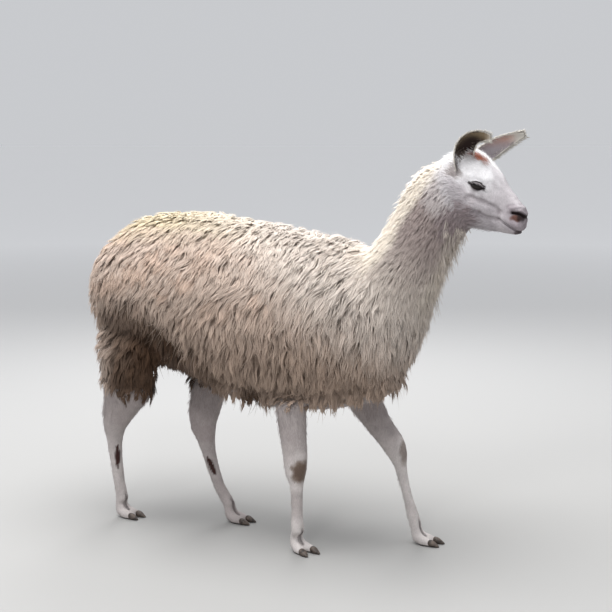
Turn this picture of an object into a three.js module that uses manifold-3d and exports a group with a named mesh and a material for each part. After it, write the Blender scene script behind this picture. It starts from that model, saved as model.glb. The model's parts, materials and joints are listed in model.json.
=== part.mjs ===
// A life-size walking llama in full fleece, as still solids: each part of the body is one mesh.
// Millimetres, +X the way it walks, +Y its left side, +Z up, floor at z = 0.
import * as THREE from "three";
import { mergeVertices } from "three/addons/utils/BufferGeometryUtils.js";
import Module from "manifold-3d";

const wasm = await Module();
wasm.setup();

// ---------- Driving dimensions ----------
const WITHERS = 1130; // top of the fleece over the shoulders
const SIZE = WITHERS / 1130; // the tables below are drawn for a llama of this height
const GAP = 0.4; // clearance left by the thin cuts between parts
const BODY_SIDES = 24; // corners round the trunk, neck and head
const LIMB_SIDES = 12;
const TOE_SIDES = 10;
const NAIL_SIDES = 8;

const point = (x, y, z) => new THREE.Vector3(x, y, z).multiplyScalar(SIZE);
const range = (count) => Array.from({ length: count }, (_, i) => i);
const signedPower = (value, power) => Math.sign(value) * Math.abs(value) ** power;

// ---------- Materials ----------
const finish = (color, roughness) => new THREE.MeshStandardMaterial({ color, roughness, metalness: 0 });
const FLEECE = finish("#cfc2b4", 0.95);
const SHORT_HAIR = finish("#d8d0ca", 0.85);
const NAIL = finish("#3d342e", 0.5);
const EYE = finish("#120d0b", 0.08);

// ---------- Lofts and booleans ----------
// One closed geometry over rings of equal corner count, fanned shut at both ends.
function loft(rings) {
  const sides = rings[0].length;
  const corners = rings.flat();
  const faces = [];
  const centre = (ring) =>
    ring.reduce((sum, corner) => sum.add(corner), new THREE.Vector3()).divideScalar(sides);
  const first = corners.push(centre(rings[0])) - 1;
  const last = corners.push(centre(rings.at(-1))) - 1;
  const endRing = (rings.length - 1) * sides;
  for (const i of range(sides)) {
    const next = (i + 1) % sides;
    faces.push(first, next, i, last, endRing + i, endRing + next);
    for (const r of range(rings.length - 1)) {
      const here = r * sides;
      const there = here + sides;
      faces.push(here + i, here + next, there + next, here + i, there + next, there + i);
    }
  }
  const geometry = new THREE.BufferGeometry().setFromPoints(corners);
  geometry.setIndex(faces);
  return geometry;
}

function solid(geometry) {
  const bare = geometry.clone();
  bare.deleteAttribute("normal");
  bare.deleteAttribute("uv");
  const merged = mergeVertices(bare, 1e-3);
  const made = new wasm.Manifold(
    new wasm.Mesh({
      numProp: 3,
      vertProperties: merged.attributes.position.array,
      triVerts: new Uint32Array(merged.index.array),
    }),
  );
  if (made.volume() > 0) return made;
  const index = merged.index.array;
  for (let i = 0; i < index.length; i += 3) [index[i + 1], index[i + 2]] = [index[i + 2], index[i + 1]];
  return solid(merged);
}

// The largest body of a solid: a cut can leave slivers, which are dropped.
const mainBody = (shape) => shape.decompose().sort((a, b) => b.volume() - a.volume())[0];

const llama = new THREE.Group();

function add(name, shape, material) {
  const { vertProperties, triVerts } = mainBody(shape).getMesh();
  const geometry = new THREE.BufferGeometry();
  geometry.setAttribute("position", new THREE.BufferAttribute(vertProperties, 3));
  geometry.setIndex(new THREE.BufferAttribute(triVerts, 1));
  geometry.computeVertexNormals();
  const mesh = new THREE.Mesh(geometry, material);
  mesh.name = name;
  llama.add(mesh);
}

// ---------- Trunk, neck and head: one run of sections from rump to muzzle ----------
// Each section is a slice between a point on the back line and one on the belly line.
// back and belly are [x, z]; half is half the width; low above 0.5 sinks the widest level
// below the middle; round below 1 makes the slice fuller than an ellipse.
const BODY = [
  { part: "rump", back: [-165, 912], belly: [-168, 832], half: 60, low: 0.5, round: 1.0 },
  { part: "tail root", back: [-144, 1004], belly: [-156, 735], half: 140, low: 0.5, round: 0.95 },
  { part: "buttock", back: [-68, 1098], belly: [-95, 640], half: 205, low: 0.52, round: 0.9 },
  { part: "hip", back: [70, 1176], belly: [40, 600], half: 248, low: 0.54, round: 0.86 },
  { part: "flank", back: [250, 1196], belly: [240, 575], half: 266, low: 0.56, round: 0.84 },
  { part: "barrel", back: [430, 1184], belly: [450, 510], half: 273, low: 0.57, round: 0.84 },
  { part: "girth", back: [630, 1164], belly: [680, 485], half: 266, low: 0.57, round: 0.86 },
  { part: "shoulder", back: [795, 1148], belly: [895, 505], half: 248, low: 0.56, round: 0.88 },
  { part: "brisket", back: [905, 1114], belly: [1082, 578], half: 216, low: 0.53, round: 0.92 },
  { part: "neck root", back: [984, 1088], belly: [1182, 735], half: 170, low: 0.5, round: 0.95 },
  { part: "low neck", back: [1050, 1168], belly: [1240, 900], half: 124, low: 0.48, round: 1.0 },
  { part: "mid neck", back: [1110, 1262], belly: [1290, 1030], half: 101, low: 0.48, round: 1.0 },
  { part: "high neck", back: [1176, 1356], belly: [1336, 1122], half: 88, low: 0.5, round: 1.0 },
  { part: "nape", back: [1262, 1402], belly: [1374, 1166], half: 78, low: 0.5, round: 0.98 },
  { part: "poll", back: [1340, 1424], belly: [1400, 1160], half: 72, low: 0.46, round: 0.92 },
  { part: "forehead", back: [1404, 1414], belly: [1424, 1160], half: 68, low: 0.42, round: 0.9 },
  { part: "brow", back: [1458, 1362], belly: [1450, 1155], half: 60, low: 0.42, round: 0.92 },
  { part: "bridge", back: [1502, 1304], belly: [1484, 1151], half: 46, low: 0.46, round: 0.94 },
  { part: "nose", back: [1541, 1260], belly: [1518, 1146], half: 37, low: 0.5, round: 0.9 },
  { part: "nostrils", back: [1563, 1232], belly: [1542, 1146], half: 34, low: 0.46, round: 0.86 },
  { part: "lips", back: [1571, 1206], belly: [1556, 1160], half: 25, low: 0.5, round: 0.9 },
];
const sectionOf = (part) => BODY.findIndex((section) => section.part === part);
const runOf = (pick) => new THREE.CatmullRomCurve3(BODY.map(pick), false, "centripetal");
const backLine = runOf(({ back: [x, z] }) => point(x, 0, z));
const bellyLine = runOf(({ belly: [x, z] }) => point(x, 0, z));
const girthLine = runOf(({ half, low, round }) => new THREE.Vector3(half * SIZE, low * 100, round * 100));

// Muscles and bones that stand out from the run: at, how far they reach, and by how much.
const SWELLS = [
  { name: "haunch", at: [40, 215, 900], reach: 190, by: 22 },
  { name: "flank hollow", at: [215, 240, 700], reach: 90, by: -26 },
  { name: "shoulder blade", at: [850, 220, 900], reach: 180, by: 14 },
  { name: "upper arm", at: [860, 220, 720], reach: 120, by: 12 },
  { name: "cheek", at: [1405, 72, 1215], reach: 38, by: 5 },
  { name: "brow ridge", at: [1424, 62, 1345], reach: 20, by: 8 },
  { name: "muzzle hollow", at: [1475, 44, 1225], reach: 26, by: -5 },
  { name: "upper lip", at: [1545, 28, 1182], reach: 18, by: 4 },
];

function swollen(corner, centre) {
  const outward = corner.clone().sub(centre).normalize();
  const side = new THREE.Vector3(corner.x, Math.abs(corner.y), corner.z);
  const grown = corner.clone();
  for (const { at, reach, by } of SWELLS) {
    const away = side.distanceTo(point(...at)) / (reach * SIZE);
    grown.addScaledVector(outward, by * SIZE * Math.exp(-away * away));
  }
  return grown;
}

// The slice at a place along the run, counted in sections, and set out by `grow` all round.
function slice(place, grow = 0) {
  const t = THREE.MathUtils.clamp(place / (BODY.length - 1), 0, 1);
  const back = backLine.getPoint(t);
  const belly = bellyLine.getPoint(t);
  const { x: half, y: low, z: round } = girthLine.getPoint(t);
  const down = belly.clone().sub(back).normalize();
  back.addScaledVector(down, -grow);
  belly.addScaledVector(down, grow);
  const sink = Math.log(low / 100) / Math.log(0.5);
  const centre = back.clone().lerp(belly, 0.5);
  return range(BODY_SIDES).map((i) => {
    const turn = (2 * Math.PI * i) / BODY_SIDES;
    const drop = ((1 - Math.cos(turn)) / 2) ** sink;
    const corner = back.clone().lerp(belly, drop);
    corner.y = (half + grow) * signedPower(Math.sin(turn), round / 100);
    return swollen(corner, centre);
  });
}

// A stretch of the run between two places, with `count` slices evenly spaced along it.
const stretch = (from, to, count, grow) =>
  solid(loft(range(count).map((i) => slice(from + ((to - from) * i) / (count - 1), grow))));

const NECK_AT = sectionOf("neck root");
const HEAD_AT = sectionOf("nape");
const CUT = 0.006; // of a section, left open between trunk, neck and head
const trunk = stretch(0, NECK_AT - CUT, 20);
const neck = stretch(NECK_AT, HEAD_AT - CUT, 11);
const trunkCutter = stretch(0, NECK_AT - CUT, 20, GAP).add(trunk.translate([-GAP, 0, 0]));

// ---------- Limbs ----------
// A limb is a chain of oval sections: [x, y, z, half depth, half width].
function limb(chain, rings, sides = LIMB_SIDES) {
  const centres = new THREE.CatmullRomCurve3(chain.map(([x, y, z]) => point(x, y, z)), false, "centripetal");
  const ovals = new THREE.CatmullRomCurve3(
    chain.map(([, , , deep, wide]) => new THREE.Vector3(deep * SIZE, wide * SIZE, 0)),
    false,
    "centripetal",
  );
  return loft(
    range(rings).map((r) => {
      const t = r / (rings - 1);
      const centre = centres.getPoint(t);
      const along = centres.getTangent(t);
      const fore = new THREE.Vector3(0, 1, 0).cross(along).normalize();
      const side = along.clone().cross(fore).normalize();
      const { x: deep, y: wide } = ovals.getPoint(t);
      return range(sides).map((i) => {
        const turn = (2 * Math.PI * i) / sides;
        return centre
          .clone()
          .addScaledVector(fore, deep * Math.cos(turn))
          .addScaledVector(side, wide * Math.sin(turn));
      });
    }),
  );
}

const LEGS = {
  fore_right: {
    chain: [
      [775, -120, 760, 90, 70],
      [750, -135, 620, 72, 54],
      [750, -142, 510, 60, 46],
      [759, -145, 415, 53, 42],
      [770, -150, 345, 49, 42],
      [774, -154, 290, 45, 40],
      [779, -157, 243, 30, 27],
      [782, -160, 200, 25, 23],
      [786, -165, 128, 25, 23],
      [790, -168, 82, 27, 28],
      [794, -168, 60, 25, 28],
    ],
    foot: { at: [807, -168], heading: -22, splay: 9 },
  },
  fore_left: {
    chain: [
      [800, 115, 770, 95, 75],
      [850, 122, 620, 84, 60],
      [915, 128, 490, 64, 48],
      [972, 132, 410, 50, 42],
      [1014, 134, 362, 48, 41],
      [1033, 136, 325, 43, 38],
      [1046, 137, 280, 27, 26],
      [1056, 138, 235, 23, 21],
      [1076, 139, 165, 21, 20],
      [1098, 140, 98, 25, 26],
      [1110, 140, 62, 25, 28],
    ],
    foot: { at: [1144, 140], heading: 0, splay: 6 },
  },
  hind_right: {
    chain: [
      [40, -110, 930, 140, 75],
      [45, -148, 790, 152, 76],
      [58, -168, 650, 150, 80],
      [48, -160, 553, 122, 72],
      [3, -142, 453, 78, 58],
      [-41, -125, 376, 56, 45],
      [-52, -115, 310, 36, 33],
      [-54, -110, 264, 30, 28],
      [-42, -104, 136, 26, 23],
      [-32, -102, 82, 27, 26],
      [-26, -102, 60, 26, 28],
    ],
    foot: { at: [-5, -102], heading: -4, splay: 5 },
  },
  hind_left: {
    chain: [
      [120, 105, 930, 140, 75],
      [170, 140, 790, 140, 76],
      [215, 150, 650, 125, 78],
      [232, 125, 540, 92, 64],
      [234, 98, 455, 72, 54],
      [226, 80, 376, 67, 46],
      [249, 68, 296, 39, 34],
      [271, 60, 235, 29, 27],
      [317, 50, 130, 26, 23],
      [357, 46, 78, 27, 26],
      [371, 45, 58, 26, 28],
    ],
    foot: { at: [402, 45], heading: 0, splay: 5 },
  },
};

// ---------- Feet: two toes each, with a soft sole flat on the floor ----------
// Along a toe: [forward, sideways, up, half depth, half width]. What would reach below the
// floor is pressed flat, and is the sole.
const TOE = [
  [-34, 10, 66, 20, 17],
  [-30, 14, 42, 22, 19],
  [-16, 18, 17, 24, 20],
  [8, 20, 15, 22, 20],
  [34, 20, 12, 18, 17],
  [50, 19, 8, 12, 11],
];
const NAIL_RUN = [
  [24, 19, 22, 6, 8],
  [36, 19, 19, 9, 9],
  [50, 18, 12, 9, 8],
  [66, 17, 5, 4, 4],
];

// Puts a foot's own run in its place: mirrored by side, splayed, turned and set on the floor.
function placed(run, { at: [footX, footY], heading, splay }, side) {
  const turn = THREE.MathUtils.degToRad(heading + side * splay);
  const cos = Math.cos(turn);
  const sin = Math.sin(turn);
  return run.map(([forward, sideways, up, deep, wide]) => [
    footX + cos * forward - sin * side * sideways,
    footY + sin * forward + cos * side * sideways,
    up,
    deep,
    wide,
  ]);
}

// A copy of a geometry with everything under the floor pressed flat to it.
function onFloor(geometry) {
  const position = geometry.attributes.position;
  for (const i of range(position.count)) position.setZ(i, Math.max(position.getZ(i), 0));
  return geometry;
}

function scaledAbout(shape, factor) {
  const { min, max } = shape.boundingBox();
  const middle = min.map((low, axis) => (low + max[axis]) / 2);
  return shape
    .translate(middle.map((value) => -value))
    .scale([factor, factor, factor])
    .translate(middle);
}

const NAIL_ROOM = 1.05; // the socket of a nail, against the nail
const FOOT_REACH = 200 * SIZE;

for (const [name, { chain, foot }] of Object.entries(LEGS)) {
  const leg = solid(onFloor(limb(chain, 16))).subtract(trunkCutter);
  const nails = [1, -1].map((side) => ({
    side,
    shape: solid(onFloor(limb(placed(NAIL_RUN, foot, side), 5, NAIL_SIDES))),
  }));
  const toes = [1, -1].map((side) => solid(onFloor(limb(placed(TOE, foot, side), 7, TOE_SIDES))));
  const [ankleX, ankleY, ankleZ] = chain.at(-2);
  const splitAt = ankleZ * SIZE;
  const upTo = (height) =>
    solid(
      new THREE.BoxGeometry(FOOT_REACH * 2, FOOT_REACH * 2, height * 2).translate(
        ankleX * SIZE,
        ankleY * SIZE,
        0,
      ),
    );
  const shank = leg.subtract(upTo(splitAt));
  let paw = leg.add(toes[0]).add(toes[1]).intersect(upTo(splitAt - GAP));
  for (const { shape } of nails) paw = paw.subtract(scaledAbout(shape, NAIL_ROOM));
  add(`leg_${name}`, shank, SHORT_HAIR);
  add(`foot_${name}`, paw, SHORT_HAIR);
  for (const { side, shape } of nails) add(`nail_${name}_${side > 0 ? "left" : "right"}`, shape, NAIL);
}

// ---------- Head: eyes, nostrils, mouth and ears ----------
const SIDES = [["left", 1], ["right", -1]];
const EYE_AT = [1410, 54, 1314];
const EYE_RADIUS = 21;
const NOSTRIL = { at: [1546, 31, 1214], size: [10, 7, 3.5], slant: 0.75 };
const MOUTH = { at: [1538, 0, 1184], size: [52, 42, 1.8], slant: 0.24, depth: 4 };

// A ball squashed to `size`, tipped nose-down by `slant` radians and set at a place.
const lens = ([long, wide, tall], slant, at) =>
  solid(
    new THREE.SphereGeometry(1, 12, 8)
      .scale(long * SIZE, wide * SIZE, tall * SIZE)
      .rotateY(slant)
      .translate(...point(...at).toArray()),
  );

const headRun = (grow) => stretch(HEAD_AT, BODY.length - 1, 17, grow);
const shrunkHead = headRun(-MOUTH.depth);
let head = headRun().subtract(lens(MOUTH.size, MOUTH.slant, MOUTH.at).subtract(shrunkHead));
for (const [side, sign] of SIDES) {
  const mirrored = ([x, y, z]) => [x, sign * y, z];
  const ball = (radius) =>
    solid(
      new THREE.SphereGeometry(radius * SIZE, 14, 9).translate(...point(...mirrored(EYE_AT)).toArray()),
    );
  head = head
    .subtract(ball(EYE_RADIUS + GAP))
    .subtract(lens(NOSTRIL.size, NOSTRIL.slant, mirrored(NOSTRIL.at)));
  add(`eye_${side}`, ball(EYE_RADIUS), EYE);
}
add("head", head, SHORT_HAIR);
add("neck", neck, FLEECE);
add("trunk", trunk, FLEECE);

// Each ear is a curved, pointed leaf rolled into a scoop. The right one is pricked up and the
// left one reaches forwards. opens is the way that the scoop faces.
const EAR_HALF_WIDTH = 33;
const EAR_WALL = 5;
const EAR_ROLL = 2.3; // radians of arc that the leaf wraps through at its root
const EARS = {
  left: { root: [1362, 38, 1378], knee: [1400, 72, 1440], tip: [1504, 124, 1480], opens: [0.35, -0.8, -0.5] },
  right: { root: [1360, -46, 1368], knee: [1352, -72, 1502], tip: [1480, -110, 1476], opens: [0.7, -0.65, -0.2] },
};

function earSolid({ root, knee, tip, opens }) {
  const path = new THREE.QuadraticBezierCurve3(point(...root), point(...knee), point(...tip));
  const rings = 10;
  const across = 6;
  const facing = new THREE.Vector3(...opens).normalize();
  return solid(
    loft(
      range(rings).map((r) => {
        const t = r / (rings - 1);
        const centre = path.getPoint(t);
        const along = path.getTangent(t);
        const front = facing.clone().addScaledVector(along, -facing.dot(along)).normalize();
        const edge = along.clone().cross(front).normalize();
        const leaf = EAR_HALF_WIDTH * SIZE * (Math.sin(Math.PI * (0.22 + 0.75 * t)) ** 0.8 + 0.04);
        const roll = EAR_ROLL * (1 - 0.5 * t);
        const bend = leaf / Math.sin(roll / 2);
        const arc = (radius) =>
          range(across).map((i) => {
            const angle = roll * (i / (across - 1) - 0.5);
            return centre
              .clone()
              .addScaledVector(edge, radius * Math.sin(angle))
              .addScaledVector(front, bend * Math.cos(roll / 2) - radius * Math.cos(angle));
          });
        const wall = Math.min(EAR_WALL * SIZE, leaf * 0.6);
        return [...arc(bend), ...arc(bend - wall).reverse()];
      }),
    ),
  );
}
const headCutter = headRun(GAP);
for (const [side] of SIDES) add(`ear_${side}`, earSolid(EARS[side]).subtract(headCutter), SHORT_HAIR);

// ---------- Tail: a short woolly brush lying against the rump ----------
const TAIL = [
  [-120, 0, 1045, 36, 40],
  [-147, 0, 990, 42, 55],
  [-170, 0, 920, 38, 58],
  [-178, 0, 850, 32, 52],
  [-172, 0, 785, 22, 36],
  [-164, 0, 750, 8, 14],
];
add("tail", solid(limb(TAIL, 9)).subtract(trunkCutter), FLEECE);

// The origin is on the floor, under the middle of the bounding box.
const box = new THREE.Box3().setFromObject(llama);
const middle = box.getCenter(new THREE.Vector3());
llama.position.set(-middle.x, -middle.y, -box.min.z);

export default llama;
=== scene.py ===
"""A life-size llama in full fleece, walking: one skin, wool in mesh locks, eyes and nails."""
import json
import math
from contextlib import contextmanager

import bpy
import numpy as np
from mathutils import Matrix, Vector
from mathutils.bvhtree import BVHTree

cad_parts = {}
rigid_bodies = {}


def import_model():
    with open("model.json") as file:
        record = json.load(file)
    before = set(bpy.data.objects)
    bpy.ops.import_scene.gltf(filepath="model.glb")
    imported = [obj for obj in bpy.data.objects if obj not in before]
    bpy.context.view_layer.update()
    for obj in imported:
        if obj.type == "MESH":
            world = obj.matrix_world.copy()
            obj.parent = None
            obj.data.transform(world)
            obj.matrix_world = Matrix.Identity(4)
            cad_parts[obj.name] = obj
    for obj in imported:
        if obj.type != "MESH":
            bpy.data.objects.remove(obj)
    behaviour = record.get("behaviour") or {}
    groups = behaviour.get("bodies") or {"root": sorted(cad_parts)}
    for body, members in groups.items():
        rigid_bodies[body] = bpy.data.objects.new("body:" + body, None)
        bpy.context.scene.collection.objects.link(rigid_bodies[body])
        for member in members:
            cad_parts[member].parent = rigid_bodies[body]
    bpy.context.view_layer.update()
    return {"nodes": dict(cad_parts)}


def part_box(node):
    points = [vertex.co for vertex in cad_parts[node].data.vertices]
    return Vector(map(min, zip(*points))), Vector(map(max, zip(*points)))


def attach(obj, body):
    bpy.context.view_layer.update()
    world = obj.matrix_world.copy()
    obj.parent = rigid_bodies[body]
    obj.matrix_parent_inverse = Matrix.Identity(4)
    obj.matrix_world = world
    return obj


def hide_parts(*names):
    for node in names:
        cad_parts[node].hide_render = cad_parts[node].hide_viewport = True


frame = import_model()

# ---------------------------------------------------------------------------
# Viewpoint. A person standing to the right of the animal and a little ahead,
# with a short telephoto lens, looking slightly down on it.
# ---------------------------------------------------------------------------
# Places in this file are in metres from the hind right pastern: x forwards, y to the
# animal's left, z up. SHIFT takes them to the frame that the solids are in.
EYE_CENTRE = Vector((1.410, 0.054, 1.314))
eye_low, eye_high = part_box("eye_left")
SHIFT = (eye_low + eye_high) / 2 - EYE_CENTRE
CAMERA_AT = (3.331, -4.590, 1.573)
CAMERA_TURN = math.radians(29.55)  # off square to the animal's side
CAMERA_DIP = math.radians(7.71)
LENS = 86.8  # mm, on a 36 mm sensor
FARTHEST_SEEN = 60


def add(name, data):
    """A new object in the scene that holds this camera, lamp or mesh."""
    made = bpy.data.objects.new(name, data)
    bpy.context.scene.collection.objects.link(made)
    return made


camera = add("camera", bpy.data.cameras.new("camera"))
camera.data.lens = LENS
camera.data.clip_end = FARTHEST_SEEN
camera.location = Vector(CAMERA_AT) + SHIFT
level = math.cos(CAMERA_DIP)
gaze = Vector((-math.sin(CAMERA_TURN) * level, math.cos(CAMERA_TURN) * level, -math.sin(CAMERA_DIP)))
camera.rotation_euler = gaze.to_track_quat("-Z", "Y").to_euler()
bpy.context.scene.camera = camera

# ---------------------------------------------------------------------------
# Skin. One hide over the whole body, from the muzzle to the soles. It is made
# from the solids of the flesh, melted together, smoothed, and let down inside
# them by the depth of the coat. The head and the feet are then made finer.
# ---------------------------------------------------------------------------
LEGS = ("fore_left", "fore_right", "hind_left", "hind_right")
EARS = ("ear_left", "ear_right")
FLESH = ("trunk", "neck", "head", "tail", *(f"{part}_{leg}" for part in ("leg", "foot") for leg in LEGS))
NECK_ROOT, NECK_AXIS = np.array((1.083, 0.0, 0.911)), np.array((0.532, 0.0, 0.847))
HEAD_ROOT, HEAD_AXIS = np.array((1.318, 0.0, 1.284)), np.array((0.903, 0.0, 0.429))
RUMP_BACK = -0.175
HEM_PLACES = (-0.05, 0.06, 0.15, 0.30, 0.52, 0.58, 0.66, 0.90, 1.05, 1.15)
HEM_HEIGHTS = (0.540, 0.500, 0.510, 0.545, 0.530, 0.474, 0.525, 0.530, 0.570, 0.620)
BODY_COAT, THIGH_COAT, FACE_COAT, LEG_COAT = 0.043, 0.022, 0.003, 0.002  # depths, in metres
MELT_SIZE, SKIN_SIZE = 0.006, 0.0076  # meshes of the melted flesh and of the skin


def ramp(value, start, end):
    """0 at start, 1 at end, with a soft run between."""
    t = np.clip((np.asarray(value, float) - start) / (end - start), 0, 1)
    return t * t * (3 - 2 * t)


def along_neck(place):
    return (place - NECK_ROOT) @ NECK_AXIS


def on_head(place, start=-0.03, end=0.03):
    return ramp((place - HEAD_ROOT) @ HEAD_AXIS, start, end)


def wool_hem(x):
    """Height at which the wool ends along the body: thighs, groin, belly and chest."""
    return np.interp(x, HEM_PLACES, HEM_HEIGHTS)


def on_leg(place):
    """1 on the short-haired lower legs, 0 on all that carries wool."""
    hem = wool_hem(place[:, 0]) + 0.012
    return ramp(place[:, 2], hem + 0.018, hem - 0.018)


def coat_depth(place):
    """How deep the coat is over the skin, in metres."""
    x, y, z = place.T
    neck = along_neck(place)
    depth = BODY_COAT - 0.018 * ramp(neck, -0.02, 0.16) - 0.010 * ramp(neck, 0.16, 0.38)
    depth *= 1 - 0.42 * ramp(z, 0.72, 1.06) * ramp(neck, 0.04, -0.06)
    depth *= 1 - 0.45 * ramp(x, -0.02, RUMP_BACK) * ramp(np.abs(y), 0.09, 0.03)
    thigh, head = ramp(z, 0.74, 0.56) * ramp(x, 0.42, 0.36), on_head(place, -0.05, 0.05)
    for mask, coat in ((thigh, THIGH_COAT), (head, FACE_COAT), (on_leg(place), LEG_COAT)):
        depth = depth * (1 - mask) + coat * mask
    return depth


def folded(place):
    """The same places with the right half of the body laid over the left."""
    return np.column_stack((place[:, 0], np.abs(place[:, 1]), place[:, 2]))


def read(items, field, width=3):
    """A row of numbers for each part of a mesh, such as the places of its points."""
    flat = np.empty(len(items) * width)
    items.foreach_get(field, flat)
    return flat.reshape(-1, width)


def set_points(mesh, points):
    mesh.vertices.foreach_set("co", points.ravel())
    mesh.update()


def choose(*things):
    """Selects these objects alone, with the last of them active."""
    bpy.ops.object.select_all(action="DESELECT")
    for thing in things:
        thing.select_set(True)
    bpy.context.view_layer.objects.active = things[-1]


@contextmanager
def editing(thing, kind="VERT", picked=None):
    """Edit mode with the whole mesh selected, or only its picked points or faces."""
    choose(thing)
    bpy.ops.object.mode_set(mode="EDIT")
    if picked is None:
        bpy.ops.mesh.select_all(action="SELECT")
    else:
        bpy.ops.mesh.select_mode(type=kind)
        bpy.ops.mesh.select_all(action="DESELECT")
        bpy.ops.object.mode_set(mode="OBJECT")
        items = thing.data.polygons if kind == "FACE" else thing.data.vertices
        items.foreach_set("select", picked)
        bpy.ops.object.mode_set(mode="EDIT")
    yield
    bpy.ops.object.mode_set(mode="OBJECT")


def apply(thing, kind, **settings):
    """Adds a modifier of that kind to the object and applies it."""
    modifier = thing.modifiers.new(kind, kind)
    for name, value in settings.items():
        setattr(modifier, name, value)
    bpy.context.view_layer.objects.active = thing
    bpy.ops.object.modifier_apply(modifier=modifier.name)


def refine(thing, wanted, evening):
    """Halves the mesh where wanted(place of face) is true, then evens it out there."""
    centres = read(thing.data.polygons, "center") - np.array(SHIFT)
    with editing(thing, "FACE", wanted(centres)):
        bpy.ops.mesh.subdivide(number_cuts=1)
        bpy.ops.mesh.vertices_smooth(factor=0.5, repeat=evening)


def near_eye(place, inset, reach):
    """True close to either eye."""
    return np.linalg.norm(folded(place) - np.array(EYE_CENTRE + Vector((0, inset, 0))), axis=1) < reach


# The eyeballs are melted in as well, and fill their sockets.
choose(*(add("skin", frame["nodes"][node].data.copy()) for node in (*FLESH, "eye_left", "eye_right")))
bpy.ops.object.join()
skin = bpy.context.view_layer.objects.active
skin.name = "skin"
skin.data.materials.clear()
with editing(skin):
    bpy.ops.mesh.remove_doubles(threshold=1e-5)
apply(skin, "REMESH", mode="VOXEL", voxel_size=MELT_SIZE)
apply(skin, "SMOOTH", factor=0.5, iterations=8)
melted, out = read(skin.data.vertices, "co"), read(skin.data.vertices, "normal")
set_points(skin.data, melted - out * coat_depth(melted - np.array(SHIFT))[:, None])
apply(skin, "REMESH", mode="VOXEL", voxel_size=SKIN_SIZE)
heights = read(skin.data.vertices, "co")[:, 2]
with editing(skin, "VERT", np.arange(len(heights)) == heights.argmax()):
    bpy.ops.mesh.select_linked()
    bpy.ops.mesh.select_all(action="INVERT")
    bpy.ops.mesh.delete(type="VERT")  # films left in the seams between the solids
apply(skin, "SMOOTH", factor=0.5, iterations=5)
refine(skin, lambda place: (on_head(place, -0.01, 0.0) > 0.5) | (place[:, 2] < 0.085), 3)
refine(skin, lambda place: near_eye(place, 0.014, 0.036) | ((place[:, 0] > 1.475) & (place[:, 2] > 1.10)), 1)
refine(skin, lambda place: near_eye(place, 0.016, 0.030), 1)

# ---------------------------------------------------------------------------
# Face and feet, shaped in the skin: lids that wrap the eyeballs, the curled
# nostrils, the mouth line and the split upper lip, the soft folds of the cheek,
# and the cleft between the two toes of each foot.
# ---------------------------------------------------------------------------
EYE_RADIUS = 0.021
LID = 0.0018
OPENING = 0.0218  # half the length of the slit between the lids
SLIT_TILT = math.radians(19)  # front corner lower
CLEFT_WIDTH, CLEFT_DEPTH = 0.0050, 0.0100
FEET = {  # place on the floor, heading in degrees
    "fore_right": (0.807, -0.168, -22),
    "fore_left": (1.144, 0.140, 0),
    "hind_right": (-0.005, -0.102, -4),
    "hind_left": (0.402, 0.045, 0),
}
CARVINGS = {  # width, depth, and path on the left half; a negative depth raises
    "mouth": (0.0032, 0.0070, (1.482, 0.037, 1.202), (1.500, 0.034, 1.191), (1.522, 0.029, 1.176),
              (1.547, 0.018, 1.160), (1.560, 0, 1.158)),
    "upper lip": (0.0090, -0.0030, (1.498, 0.038, 1.206), (1.526, 0.034, 1.188), (1.556, 0.020, 1.174)),
    "lower lip": (0.0080, -0.0020, (1.500, 0.030, 1.180), (1.524, 0.024, 1.164), (1.545, 0.014, 1.150)),
    "split lip": (0.0032, 0.0045, (1.574, 0, 1.205), (1.576, 0, 1.168)),
    "nostril": (0.0052, 0.0120, (1.527, 0.037, 1.225), (1.545, 0.032, 1.223), (1.557, 0.027, 1.217),
                (1.565, 0.021, 1.209)),
    "nostril wing": (0.0065, -0.0034, (1.522, 0.035, 1.239), (1.543, 0.031, 1.242), (1.562, 0.022, 1.234),
                     (1.572, 0.012, 1.216)),
    "nose crease": (0.0050, 0.0024, (1.516, 0.038, 1.222), (1.530, 0.036, 1.204), (1.548, 0.030, 1.196)),
    "fold under the eye": (0.0070, 0.0056, (1.385, 0.072, 1.276), (1.422, 0.066, 1.266),
                           (1.468, 0.052, 1.246), (1.490, 0.046, 1.224)),
    "cheek fold": (0.0070, 0.0056, (1.402, 0.074, 1.228), (1.436, 0.064, 1.211), (1.465, 0.050, 1.203),
                   (1.486, 0.040, 1.203)),
    "cheek": (0.0150, -0.0040, (1.400, 0.072, 1.250), (1.445, 0.060, 1.238)),
    "brow": (0.0110, -0.0045, (1.380, 0.068, 1.348), (1.412, 0.068, 1.348), (1.444, 0.060, 1.328)),
    "temple": (0.0150, 0.0035, (1.372, 0.070, 1.300), (1.352, 0.066, 1.345)),
    "forehead": (0.0380, -0.0050, (1.400, 0, 1.424), (1.440, 0, 1.395), (1.480, 0, 1.350)),
    "nose bridge": (0.0300, -0.0045, (1.480, 0, 1.350), (1.520, 0, 1.300), (1.560, 0, 1.250)),
    "tear groove": (0.0030, 0.0026, (1.432, 0.070, 1.302), (1.450, 0.064, 1.290)),
    "bridge edge": (0.0080, -0.0018, (1.452, 0.034, 1.338), (1.500, 0.028, 1.292), (1.545, 0.022, 1.255)),
}




def groove(place, path, width):
    """How close each place is to a path of points: 1 on it, fading over the width."""
    best = np.full(len(place), 9.0)
    for a, b in zip(path, path[1:]):
        a, b = np.array(a), np.array(b)
        t = np.clip((place - a) @ (b - a) / max((b - a) @ (b - a), 1e-12), 0, 1)
        best = np.minimum(best, np.linalg.norm(place - a - t[:, None] * (b - a), axis=1))
    return np.exp(-((best / width) ** 2))


def tree_of(thing):
    corners = [v.co - SHIFT for v in thing.data.vertices]
    return BVHTree.FromPolygons(corners, [p.vertices[:] for p in thing.data.polygons])


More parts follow.
